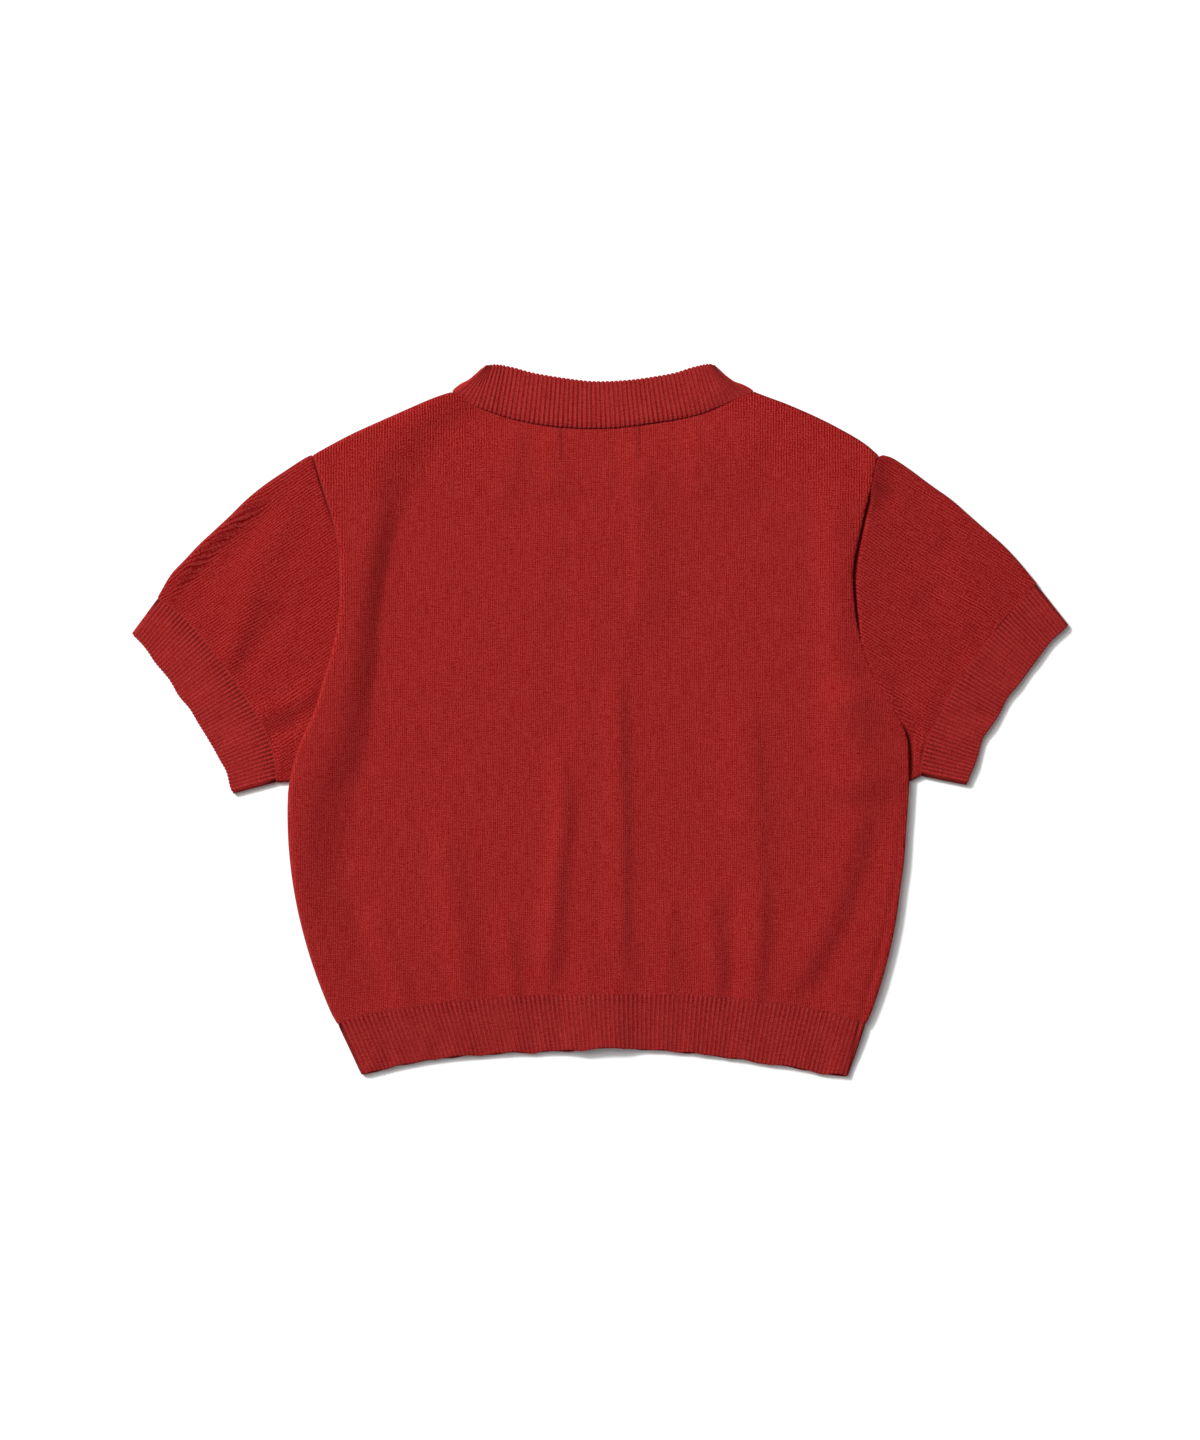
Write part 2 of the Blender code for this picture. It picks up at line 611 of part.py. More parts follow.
def neck_fold(side, start, start_height):
    """The half turn at a side of the neck, from the upper layer down to the lower one."""
    outwards, up = NECK_FOLD_WAY
    across = np.array((-inward(side) * outwards, up))
    angles = np.radians((45, 0, -45))
    radius = SHOULDER_HEIGHT / 2
    centre, reach = (start_height + RIB / 2) / 2, (start_height - RIB / 2) / 2
    plan = start[:, None, :] + across * (radius * np.cos(angles))[None, :, None]
    return lifted(plan, centre[:, None] + reach[:, None] * np.sin(angles)[None, :])


def front_neckband(side, start):
    """The hidden front half of the neckband, from the side of the neck past the centre front."""
    inwards = inward(side)
    shares = np.linspace(0, 1, FRONT_NECK_COLUMNS + 1)
    seam = front_neck_line(side).at(shares) + np.array((inwards, 1.0)) * SEAM_GAP / 2
    edge = Line([start[1]] + [(-inwards * row.edge_x, row.edge_y) for row in FRONT_NECK]).at(shares)
    seam[0], edge[0] = start
    lap_x = inwards * BAND_HALF_WIDTH
    seam, edge = np.vstack([seam, (lap_x, seam[-1, 1])]), np.vstack([edge, (lap_x, edge[-1, 1])])
    plan = np.stack([seam, edge])
    underside = front_underside(plan[..., 0], RIB) if side == "left" else np.zeros(plan.shape[:2])
    return lifted(plan, underside + RIB / 2)


def neckband(finish):
    """One strip round the neck: in under the back from the right front, over the back, and out again."""
    ribs, back_relief = rib_columns(NECK_RIBS)
    trim = (RIB / 2 + SHOULDER_HEIGHT / 2) / NECK_SEAM.length
    shares = trim + (1 - 2 * trim) * ribs
    back = np.stack([NECK_SEAM.moved(0, SEAM_GAP / 2).at(shares), edge_line(BACK_NECK).at(shares)])
    height = back_underside(back[..., 0], back[..., 1] - NECK_SETBACK) + RIB / 2
    ends = []
    for side, column in (("left", 0), ("right", -1)):
        turn = neck_fold(side, back[:, column], height[:, column])
        ends.append(np.concatenate([turn, front_neckband(side, back[:, column])], axis=1))
    middle = np.concatenate([ends[0][:, ::-1], lifted(back, height), ends[1]], axis=1)
    plain = np.zeros(ends[0].shape[1])
    relief = np.concatenate([plain, back_relief, plain])
    return wall("neckband", middle, RIB, finish, relief=np.broadcast_to(relief, middle.shape[:2]))


def tube_ring(width, thickness, fold_height, upper_shares):
    """Columns round a flattened tube, starting at the underarm fold: each one's share across, and its
    layer, which is 0 on the lower side, 1 on the upper side and between them round the folds."""
    radius = fold_height / 2
    turns = np.radians(TURN_ANGLES)
    turn_shares = (thickness / 2 + radius * (1 - np.cos(turns))) / width
    turn_layers = 0.5 + 0.5 * np.sin(turns)
    start = (thickness / 2 + radius) / width
    upper = start + (1 - 2 * start) * upper_shares
    lower = np.linspace(1 - start, start, LOWER_COLUMNS)
    shares = np.concatenate([turn_shares, upper, 1 - turn_shares[::-1], lower])
    layer = np.concatenate([turn_layers, np.ones(len(upper)), turn_layers[::-1], np.zeros(LOWER_COLUMNS)])
    return shares, layer


def sleeve_plan(side, across, out):
    """Plan of a sleeve: its first row lies tucked under the body's edge, the last at the cuff."""
    seam = seam_line(CUFFS[side][::-1]).moved(inward(side) * SEAM_GAP, SEAM_GAP)
    fold = Line(list(SLEEVE_FOLDS[side]) + [seam.end])
    beside = side_line(side, UNDERARM_Y, fold.start[1], inset=-ARMHOLE_STEP)
    start = Line(list(beside.path[:-1]) + [fold.start], smooth=False)
    under = Line([start.start, seam.start], smooth=False)
    tucked = armhole_line(side, ARMHOLE_TUCK).at(across)
    return np.concatenate([tucked[None], patch(start, seam, under, fold, across, out)])


def sleeve(side, finish):
    across, layer = sleeve_ring(side)
    out = np.linspace(0, 1, SLEEVE_ROWS) ** 1.3
    plan = sleeve_plan(side, across, out)
    out = np.concatenate([[0.0], out])[:, None]
    rise = SLEEVE_LOW + (SLEEVE_HEIGHT - SLEEVE_LOW) * smoothstep(out / RISE_SHARE)
    rise = rise + (SLEEVE_END_HEIGHT - rise) * smoothstep((out - 1 + FALL_SHARE) / FALL_SHARE)
    rise = rise + fold_rise(SLEEVE_CREASES[side], plan[..., 0], plan[..., 1]) * smoothstep(out / 0.2)
    near_fold = smoothstep(np.minimum(across, 1 - across) / FOLD_SHARE)[None, :]
    low = np.minimum(SLEEVE_FOLD_HEIGHT, rise)
    rise = np.maximum(low + (rise - low) * near_fold, SLEEVE_LOW)
    middle = lifted(plan, JERSEY / 2 + rise * layer[None, :])
    middle = middle if side == "left" else middle[:, ::-1]
    return wall(f"sleeve_{side}", middle, JERSEY, finish, closed=True)


def cuff(side, finish):
    rows = CUFFS[side][::-1]
    seam = seam_line(rows).moved(-inward(side) * SEAM_GAP / 2, -SEAM_GAP / 2)
    ribs, upper_relief = rib_columns(CUFF_RIBS)
    across, layer = tube_ring(edge_line(rows).length, RIB, CUFF_HEIGHT, ribs)
    relief = np.zeros(len(across))
    relief[TURN_COLUMNS : TURN_COLUMNS + len(ribs)] = upper_relief
    plan = np.stack([seam.at(across), edge_line(rows).at(across)])
    relief, layer = (np.broadcast_to(row, plan.shape[:2]) for row in (relief, layer))
    middle = lifted(plan, RIB / 2 + CUFF_HEIGHT * layer)
    if side == "right":
        middle, relief = middle[:, ::-1], relief[:, ::-1]
    return wall(f"cuff_{side}", middle, RIB, finish, relief=relief, closed=True)


def main():
    clear_scene()
    jersey = material("jersey_knit", KNIT_RED, 0.9)
    rib = material("rib_knit", KNIT_RED, 0.9)
    plastic = material("button_plastic", BUTTON_RED, 0.35)
    back_panel(jersey)
    back_hem(rib)
    neckband(rib)
    for side in ("left", "right"):
        front_layer(f"front_{side}", side, front_plan(side), JERSEY, jersey)
        front_layer(f"hem_rib_front_{side}", side, front_hem_plan(side), RIB, rib)
        sleeve(side, jersey)
        cuff(side, rib)
    front_band("buttonhole_band", 0.0, rib)
    front_band("button_band", BAND + SEAM_GAP, rib)
    for number, level in enumerate(button_levels(), 1):
        button(number, level, plastic)


main()
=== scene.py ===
"""A cropped cardigan in fine red knit, buttoned and laid flat face down: its looks, floor, light and camera.

The back of the garment faces up (+Z) and the neck points to +Y; left and right are the wearer's, so the
left sleeve is at -X. Tables and sizes are in millimetres, and meshes are written in metres. Each piece
of cloth is a fine closed wall on the form of the solid that it stands for: its middle is a grid of
points, its outer side is the knit's right side, and ribs, seams and folds are in its points. The
stitches are in the materials, which read each piece's own map in millimetres of knit.
"""

import math
from collections import namedtuple

import bmesh
import bpy
import numpy as np
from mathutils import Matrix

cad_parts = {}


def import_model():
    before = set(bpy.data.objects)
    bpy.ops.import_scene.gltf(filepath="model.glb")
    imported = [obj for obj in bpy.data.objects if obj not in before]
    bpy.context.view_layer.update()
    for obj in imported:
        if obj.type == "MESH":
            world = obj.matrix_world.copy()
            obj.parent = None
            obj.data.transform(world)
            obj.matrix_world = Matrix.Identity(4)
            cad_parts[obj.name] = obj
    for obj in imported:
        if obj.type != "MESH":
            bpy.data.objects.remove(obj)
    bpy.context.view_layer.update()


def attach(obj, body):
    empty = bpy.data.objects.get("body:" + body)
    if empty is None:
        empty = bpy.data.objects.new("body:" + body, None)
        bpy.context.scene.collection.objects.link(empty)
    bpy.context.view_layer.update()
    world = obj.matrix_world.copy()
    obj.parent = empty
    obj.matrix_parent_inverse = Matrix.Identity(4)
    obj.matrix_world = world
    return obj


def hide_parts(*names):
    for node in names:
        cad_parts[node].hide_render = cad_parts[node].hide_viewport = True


MM = 0.001

# Walls of the knit.
JERSEY = 1.6
RIB = 1.8
BAND = 1.6
SEAM_GAP = 0.3
RIM = 0.8  # how far in from a cut or linked edge the wall is rounded

# Ribs: how many show on each band's upper side, and how they stand out.
NECK_RIBS = 64
FRONT_NECK_RIBS = 46
HEM_RIBS = 113
FRONT_HEM_RIBS = 51
CUFF_RIBS = 52
BAND_RIBS = 10
RIB_RELIEF = 0.24
NECK_RELIEF = 0.62
RIB_HOLLOW = 0.5  # depth of the valleys in an underside that rests on the floor
RIB_POINTS = 8
RIB_START = 7.0  # ribs bite deepest within this distance of the plain knit

# Ribbed pieces, from their seam to their free edge.
HEM_HEIGHT = 36.0
NECK_HEIGHT = 33.0
CUFF_LENGTH = 31.0

# Stitches of the knit.
WALE = 1.5
COURSE = 1.3

# The closed front.
BAND_HALF_WIDTH = 16.0
BUTTON_DIAMETER = 11.5
BUTTON_THICKNESS = 1.8
BUTTON_TOP_Y = 110.0
BUTTON_PITCH = 64.0
BUTTON_COUNT = 6
BUTTON_LIFT = BUTTON_THICKNESS + SEAM_GAP
BUTTON_REST = 7.0
HOLE_RADIUS = 0.62
HOLE_PLACE = 1.25  # how far each of the four holes is from the button's middle, across and up
DISH_DEPTH = 0.45
BUTTONHOLE_REACH = 6.9

# Sewing thread, and the two short stitch rows below the back neck seam.
CROSS_THREAD_RADIUS = 0.32
ROW_THREAD_RADIUS = 0.34
BINDING_RADIUS = 0.45
STITCH_ROWS_X = (-27.3, 27.0)
STITCH_COUNT = 8
STITCH_PITCH = 2.9
STITCH_LENGTH = 2.0

LAP_START_X = -60.0  # where the left front starts to climb onto the right one

# Heights of the underside of the upper (back) layer.
BODY_HEIGHT = 5.6
SHOULDER_HEIGHT = 3.6
HEM_SEAM_HEIGHT = 4.4
HEM_EDGE_HEIGHT = 3.4
PLACKET_HEIGHT = 6.2
LOWEST_HEIGHT = 2.1
SOFT_EDGE = 40.0

# Turned edges of the back panel, and the sleeves beside them.
ROLL_LEFT, ROLL_RIGHT, ROLL_TOP = 2.0, 0.5, 1.2
ROLL_RISE = 2.1
ARMHOLE_TUCK = 3.0
SLEEVE_LOW = 2.2
SLEEVE_TOP = SLEEVE_LOW + JERSEY
SLEEVE_HEIGHT = 3.9
SLEEVE_FOLD_HEIGHT = 2.6
SLEEVE_END_HEIGHT = 3.2
CUFF_HEIGHT = 2.8
HEM_CORNER_Y = -212.0
UNDERARM_Y = -43.5
SHOULDER_Y = 185.0
FRONT_NECK_Y = 128.0

# Lines in plan, as points (x, y). The body's side edges run from the hem seam up to the shoulder point.
BODY_LEFT = [
    (-184.1, -212.0), (-189.0, -203.0), (-197.4, -182.0), (-204.4, -161.0), (-210.0, -140.0),
    (-214.2, -119.0), (-217.0, -98.0), (-218.4, -77.0), (-218.4, -56.0), (-217.0, -43.4), (-214.2, -30.8),
    (-208.6, -14.0), (-199.5, 6.3), (-193.9, 25.2), (-187.6, 46.9), (-183.4, 67.2), (-182.0, 87.5),
    (-182.7, 112.0), (-185.5, 133.0), (-191.8, 154.0), (-197.0, 171.0), (-200.9, 185.0),
]
BODY_RIGHT = [
    (186.3, -212.0), (190.4, -203.0), (197.4, -182.0), (203.0, -161.0), (207.2, -140.0), (210.0, -119.0),
    (212.8, -98.0), (214.2, -77.0), (215.6, -56.0), (216.3, -37.1), (215.6, -18.2), (212.8, -7.0),
    (207.2, 4.2), (200.2, 15.4), (191.1, 31.5), (184.8, 47.6), (179.9, 65.1), (177.8, 81.2), (176.6, 98.0),
    (177.8, 112.0), (180.6, 124.6), (183.4, 137.2), (188.3, 156.8), (191.6, 171.0), (194.5, 185.0),
]
SHOULDER_LEFT = [
    (-200.9, 185.0), (-189.7, 191.5), (-173.6, 200.0), (-154.7, 208.6), (-135.8, 217.0), (-116.9, 225.2),
    (-104.5, 229.4),
]
SHOULDER_RIGHT = [
    (108.5, 229.4), (119.7, 225.2), (130.9, 221.0), (149.8, 212.8), (167.3, 204.0), (183.4, 194.5),
    (194.5, 185.0),
]
NECK_SEAM_POINTS = [
    (-104.5, 229.2), (-95.2, 225.0), (-88.2, 219.6), (-75.6, 214.9), (-63.0, 210.7), (-49.0, 207.6),
    (-37.8, 205.8), (-26.6, 204.5), (-10.5, 203.7), (9.1, 204.0), (23.8, 205.6), (37.8, 207.6), (51.8, 209.6),
    (63.7, 212.0), (73.5, 214.9), (83.3, 218.8), (93.5, 223.2), (101.5, 226.8), (108.5, 229.0),
]
NECK_EDGE_POINTS = [
    (-79.1, 247.8), (-72.1, 248.3), (-60.9, 246.4), (-44.8, 242.2), (-18.2, 238.0), (0.0, 236.6),
    (23.8, 238.0), (50.4, 242.2), (64.4, 246.4), (75.6, 248.7), (79.8, 247.8),
]
HEM_SEAM_POINTS = [
    (-184.1, -212.0), (-173.9, -207.9), (-158.9, -204.2), (-133.0, -200.2), (-108.5, -196.7), (-87.5, -195.1),
    (-64.4, -192.1), (-34.3, -191.3), (0.0, -190.8), (31.5, -190.6), (72.8, -192.1), (104.3, -195.1),
    (130.2, -198.1), (153.0, -202.0), (170.0, -206.7), (186.3, -212.0),
]
HEM_EDGE_POINTS = [
    (-166.8, -248.4), (-142.1, -242.2), (-117.6, -237.6), (-95.2, -235.2), (-64.4, -233.1), (-26.6, -231.6),
    (8.4, -229.6), (46.9, -231.6), (77.0, -234.5), (107.5, -239.1), (137.9, -243.6), (160.3, -247.9),
    (174.0, -249.1),
]
# Each sleeve's upper fold, from the shoulder point to the cuff, then the cuff's seam and free edge,
# both from the upper fold to the underarm.
SLEEVE_FOLD_POINTS = {
    "left": [
        (-202.8, 185.4), (-207.5, 183.0), (-219.8, 175.0), (-235.2, 164.5), (-247.8, 154.0), (-258.3, 143.5),
        (-269.5, 133.0), (-280.7, 122.5), (-290.5, 112.0), (-300.3, 101.5), (-309.1, 86.3),
    ],
    "right": [
        (199.0, 185.2), (205.6, 183.0), (217.7, 175.0), (231.7, 164.5), (246.4, 154.0), (258.3, 143.5),
        (270.2, 133.0), (282.1, 122.5), (291.9, 112.0), (304.9, 96.2),
    ],
}
CUFF_SEAM_POINTS = {
    "left": [
        (-309.4, 86.0), (-295.4, 76.5), (-284.2, 65.8), (-271.6, 50.4), (-257.6, 31.5), (-247.1, 16.1),
        (-236.5, -1.4), (-229.6, -16.8), (-226.3, -32.2), (-225.5, -43.8),
    ],
    "right": [
        (305.2, 95.9), (298.2, 88.0), (283.5, 71.8), (268.8, 53.2), (254.8, 34.0), (242.2, 13.2),
        (232.0, -5.5), (226.0, -22.4), (223.5, -39.5),
    ],
}
CUFF_EDGE_POINTS = {
    "left": [
        (-327.6, 60.9), (-317.1, 49.0), (-309.4, 38.5), (-301.0, 28.0), (-294.7, 17.5), (-286.3, 7.0),
        (-280.0, -3.5), (-273.7, -14.0), (-267.4, -24.5), (-261.8, -35.0), (-259.0, -45.5), (-256.2, -51.8),
    ],
    "right": [
        (327.6, 66.9), (320.6, 59.5), (310.8, 49.0), (303.1, 38.5), (295.4, 28.0), (287.0, 17.5),
        (280.7, 7.0), (274.4, -3.5), (268.1, -14.0), (263.9, -24.5), (261.1, -35.0), (256.9, -46.2),
    ],
}
# The hidden front neckline, seam and free edge; x counts outwards from the centre front.
FRONT_NECK_SEAM = [(96.0, 203.0), (80.0, 172.0), (54.0, 144.0), (BAND_HALF_WIDTH, 128.0)]
FRONT_NECK_EDGE = [(67.0, 219.0), (53.0, 194.0), (38.0, 174.0), (BAND_HALF_WIDTH, 161.0)]

# Height of the back panel's underside beside its left and right edges, level by level.
EdgeHeight = namedtuple("EdgeHeight", "y left right")
EDGE_HEIGHTS = (
    EdgeHeight(-212, 3.4, 3.6),
    EdgeHeight(-182, 3.6, 4.4),
    EdgeHeight(-98, 3.9, 5.0),
    EdgeHeight(-50, 5.0, 5.0),
    EdgeHeight(-12, 5.6, 5.4),
    EdgeHeight(25, 5.6, 4.6),
    EdgeHeight(67, 5.3, 5.6),
    EdgeHeight(112, 4.6, 6.8),
    EdgeHeight(154, 4.3, 6.2),
    EdgeHeight(185, 4.3, 4.6),
)

# The full, rounded cloth along the left side: level by level, how high it stands, where it starts to
# fall towards the middle and where it lies flat again. A late fall is steepest just before its foot.
Bulge = namedtuple("Bulge", "y rise crest foot late")
LEFT_BULGE = (
    Bulge(-206, 0.4, -182, -160, 1.0),
    Bulge(-170, 3.5, -197, -166, 1.0),
    Bulge(-140, 6.0, -208, -168, 1.0),
    Bulge(-110, 8.2, -213, -176, 1.0),
    Bulge(-80, 9.0, -212, -174, 1.0),
    Bulge(-50, 8.7, -210, -168, 1.1),
    Bulge(-20, 8.6, -206, -159, 1.7),
    Bulge(10, 7.8, -197, -157, 2.0),
    Bulge(40, 8.0, -188, -154, 2.0),
    Bulge(70, 7.7, -182, -152, 2.0),
    Bulge(100, 7.2, -176, -148, 1.9),
    Bulge(130, 5.9, -163, -142, 1.4),
    Bulge(155, 4.6, -160, -132, 1.0),
    Bulge(180, 4.6, -157, -119, 1.0),
    Bulge(205, 5.8, -144, -98, 1.0),
    Bulge(228, 3.4, -116, -70, 1.0),
    Bulge(244, 1.6, -90, -56, 1.0),
)

# Folds: a soft ridge (rise above 0) or trough (below 0) along a path, with its own width on each side
# of that path, left and right as one walks it.
Fold = namedtuple("Fold", "path left right rise")
BODY_FOLDS = (
    # The full edge over the right sleeve, and the soft fall below it.
    Fold(((160, 190), (163, 132), (165, 90), (168, 36), (176, -30)), 16, 13, 2.9),
    Fold(((173, 34), (178, -18), (184, -64)), 24, 22, 4.0),
    # Ridges that gather into the hem, and the hollows between them.
    Fold(((-32, -8), (-26, -63), (-32, -119), (-38, -206)), 8, 8, 2.9),
    Fold(((11, 62), (13, -14), (15, -70), (15, -130), (16, -204)), 6, 15, 2.4),
    Fold(((24, 210), (27, 140), (28, 95), (24, 48)), 16, 9, 1.6),
    Fold(((102, 34), (106, -49), (110, -126), (107, -206)), 9, 20, 1.9),
    Fold(((113, -112), (111, -160), (107, -214)), 5, 9, 1.2),
    Fold(((92, -112), (93, -160), (91, -206)), 5, 6, -1.3),
    Fold(((70, -106), (79, -160), (82, -206)), 7, 9, 1.5),
    Fold(((-112, -62), (-104, -133), (-92, -206)), 13, 9, 2.3),
    Fold(((-161, -126), (-147, -168), (-130, -212)), 8, 8, 1.2),
    Fold(((-178, -116), (-160, -168), (-147, -208)), 7, 7, -0.9),
    Fold(((-66, -126), (-63, -166), (-59, -206)), 6, 8, 1.3),
    Fold(((51, -116), (47, -160), (48, -206)), 7, 12, 1.0),
    Fold(((188, -36), (166, -118), (150, -156), (124, -206)), 10, 15, 1.5),
    Fold(((200, -56), (182, -124), (163, -168), (136, -214)), 13, 9, -1.5),
    Fold(((-36, 206), (-33, 176), (-34, 150)), 12, 8, 1.0),
    Fold(((66, 214), (68, 180), (66, 150)), 15, 8, 1.0),
    Fold(((-60, 212), (-62, 176), (-68, 140)), 8, 12, 0.9),
    Fold(((60, 150), (66, 90), (62, 30)), 16, 18, -0.5),
    Fold(((-40, 150), (-36, 110), (-44, 60)), 15, 12, 0.5),
    Fold(((112, 206), (118, 180), (120, 140)), 12, 12, -0.7),
)
SLEEVE_FOLDS = {
    "left": (
        Fold(((-232, 166), (-258, 143), (-283, 119), (-306, 90)), 9, 30, 1.8),
        Fold(((-218, 158), (-254, 126), (-281, 97), (-300, 62)), 13, 7, -2.6),
        Fold(((-214, 152), (-230, 128), (-240, 102), (-250, 76)), 12, 12, 1.2),
        Fold(((-236, 100), (-248, 72), (-258, 44), (-268, 24)), 8, 12, 1.8),
        Fold(((-214, 84), (-232, 62), (-246, 42), (-258, 24)), 8, 9, -1.1),
        Fold(((-188, 29), (-212, 14), (-236, 4), (-254, -6)), 7, 8, 1.4),
        Fold(((-206, 2), (-220, -6), (-236, -14)), 6, 6, -1.2),
    ),
    "right": (
        Fold(((200, 156), (216, 140), (244, 120)), 8, 9, 1.3),
        Fold(((238, 122), (262, 92), (286, 60)), 10, 10, 1.2),
        Fold(((222, 96), (240, 62), (258, 34)), 9, 9, -1.1),
        Fold(((200, 34), (214, 8), (226, -18)), 8, 8, -1.4),
        Fold(((258, 70), (270, 48), (282, 34)), 6, 7, -1.0),
    ),
}
FRONT_FOLDS = (
    Fold(((-150, 120), (-158, 20), (-150, -120)), 16, 14, 0.6),
    Fold(((-90, 60), (-96, -60), (-88, -186)), 13, 10, 0.5),
    Fold(((-120, -60), (-116, -130), (-104, -188)), 9, 9, 0.4),
    Fold(((84, 130), (96, 10), (90, -150)), 14, 12, 0.5),
    Fold(((140, 90), (150, 0), (140, -150)), 13, 16, 0.6),
    Fold(((52, -40), (56, -120), (50, -186)), 10, 9, 0.4),
)

# Looks. A painted shade counts from 0 on the open knit to 1 deep in a seam.
# Shade painted over all of each sleeve's upper layer, and the strength of the shade painted between the cuff
# ribs.
SLEEVE_SHADE = 0.085
CUFF_SHADE = {"left": 1.05, "right": 1.3}
SLEEVE_PURL = {"left": 0.55, "right": 0.42}
KNIT_RED = (0.290, 0.0166, 0.0158)
KNIT_DARK = (0.200, 0.0004, 0.0004)
KNIT_LIGHT = (0.362, 0.0305, 0.0280)
# Colour of the shade painted into seams, between ribs and on turned edges.
PAINTED_SHADE_RED = (0.060, 0.0020, 0.0022)
THREAD_RED = (0.230, 0.0100, 0.0100)
BUTTON_RED = (0.240, 0.0140, 0.0140)
FLOOR_WHITE = (0.97, 0.97, 0.97)

PHOTO_HEIGHT = 1.008  # what the photograph's frame covers, in metres
CAMERA_HEIGHT = 3.0


# --- Lines, folds and heights ------------------------------------------------------------------------


def smoothstep(value):
    value = np.clip(value, 0.0, 1.0)
    return value * value * (3.0 - 2.0 * value)


def plateau(distance, inner, outer):
    """1 up to the inner distance, falling softly to 0 at the outer one."""
    return 1.0 - smoothstep((np.abs(distance) - inner) / (outer - inner))


def waver(x, y, size, phase=0.0):
    """A gentle unevenness between -1 and 1, its swells about size across."""
    a, b = 2.0 * np.pi * x / size, 2.0 * np.pi * y / size
    first = np.sin(a + 1.7 * np.sin(0.61 * b + phase) + phase)
    second = np.sin(0.73 * b + 1.3 * np.sin(0.83 * a - phase) + 2.1 * phase)
    return 0.5 * (first + second)


def smoothed(knots, steps=8):
    """Points of a curve that runs smoothly through the knots."""
    tangents = np.gradient(knots, axis=0)
    share = np.linspace(0.0, 1.0, steps, endpoint=False)[:, None]
    spans = []
    for a, b, leaving, arriving in zip(knots, knots[1:], tangents, tangents[1:]):
        from_start = (1 - share) ** 2 * ((1 + 2 * share) * a + share * leaving)
        to_end = share**2 * ((3 - 2 * share) * b + (share - 1) * arriving)
        spans.append(from_start + to_end)
    return np.vstack(spans + [knots[-1:]])


class Line:
    """A line in plan, walked by its share of length: smooth through its points, or straight runs."""

    def __init__(self, points, smooth=True):
        knots = np.array([(point[0], point[1]) for point in points], float)
        self.path = smoothed(knots) if smooth else knots
        steps = np.linalg.norm(np.diff(self.path, axis=0), axis=1)
        self.walked = np.concatenate([[0.0], np.cumsum(steps)])
        self.length = self.walked[-1]
        self.start, self.end = self.path[0], self.path[-1]

    def at(self, share):
        walked = np.asarray(share) * self.length
        return np.stack([np.interp(walked, self.walked, self.path[:, k]) for k in (0, 1)], axis=-1)

    def y_at(self, x):
        return np.interp(x, self.path[:, 0], self.path[:, 1])

    def x_at(self, y):
        return np.interp(y, self.path[:, 1], self.path[:, 0])

    def moved(self, x, y):
        return Line(self.path + np.array((x, y)), smooth=False)

    def joined(self, *others):
        return Line(np.vstack([self.path] + [other.path[1:] for other in others]), smooth=False)


EDGES = {"left": Line(BODY_LEFT), "right": Line(BODY_RIGHT)}
NECK_SEAM = Line(NECK_SEAM_POINTS)
NECK_EDGE = Line(NECK_EDGE_POINTS)
TOP_LINE = Line(SHOULDER_LEFT).joined(NECK_SEAM, Line(SHOULDER_RIGHT))
HEM_SEAM = Line(HEM_SEAM_POINTS)
HEM_EDGE = Line(HEM_EDGE_POINTS)


def inward(side):
    """The way towards the middle of the garment, along x."""
    return 1.0 if side == "left" else -1.0


def edge_x(side, y):
    return EDGES[side].x_at(y)


def edge_height(side, y):
    levels = [row.y for row in EDGE_HEIGHTS]
    return np.interp(y, levels, [getattr(row, side) for row in EDGE_HEIGHTS])


def side_line(side, y0, y1, inset=0.0):
    """The body's side edge between two levels, moved in towards the middle."""
    levels = np.linspace(y0, y1, 60)
    return Line([(edge_x(side, y) + inward(side) * inset, y) for y in levels], smooth=False)


def fold_rise(folds, x, y):
    """How far the folds lift the cloth at plan points x, y; each fold fades out at both its ends."""
    rise = np.zeros_like(x)
    for fold in folds:
        path = Line(fold.path).at(np.linspace(0.0, 1.0, 49))
        reach = 2.6 * max(fold.left, fold.right)
        near = (x > path[:, 0].min() - reach) & (x < path[:, 0].max() + reach)
        near &= (y > path[:, 1].min() - reach) & (y < path[:, 1].max() + reach)
        across, up = x[near][:, None] - path[:, 0], y[near][:, None] - path[:, 1]
        nearest = np.hypot(across, up).argmin(axis=-1)
        rows = np.arange(len(nearest))
        across, up = across[rows, nearest], up[rows, nearest]
        way = np.gradient(path, axis=0)[nearest]
        step = np.linalg.norm(way, axis=-1)
        aside = (way[:, 0] * up - way[:, 1] * across) / step
        ahead = np.clip((way[:, 0] * across + way[:, 1] * up) / step**2, -0.5, 0.5)
        share = (nearest + ahead) / (len(path) - 1)
        fade = smoothstep(np.minimum(share, 1.0 - share) / 0.25)
        distance = np.abs(aside) / np.where(aside > 0, fold.left, fold.right)
        rise[near] += fold.rise * fade * np.exp(-(distance**2))
    return rise


def left_bulge(x, y):
    """How far the full cloth along the left side stands up at plan points x, y."""
    levels = [row.y for row in LEFT_BULGE]
    rise, crest, foot, late = (
        np.interp(y, levels, [row[k] for row in LEFT_BULGE]) for k in range(1, 5)
    )
    fallen = np.clip((x - crest) / (foot - crest), 0.0, 1.0)
    return np.maximum(rise * (1.0 - smoothstep(fallen**late)) - 0.02 * np.maximum(crest - x, 0.0), 0.0)


def button_levels():
    return [BUTTON_TOP_Y - BUTTON_PITCH * k for k in range(BUTTON_COUNT)]


def button_lift(x, y):
    """How far the buttons hold both bands off the floor."""
    lift = np.zeros_like(x)
    for level in button_levels():
        lift += plateau(x, BUTTON_REST, BAND_HALF_WIDTH) * plateau(y - level, BUTTON_REST, BAND_HALF_WIDTH)
    return BUTTON_LIFT * lift


def front_underside(side, x, wall_thickness):
    """Underside of the front layer: the left front climbs onto the right one at the bands."""
    if side == "right":
        return np.zeros_like(x)
    climb = smoothstep((x - LAP_START_X) / (-BAND_HALF_WIDTH - LAP_START_X))
    return (wall_thickness + SEAM_GAP) * climb


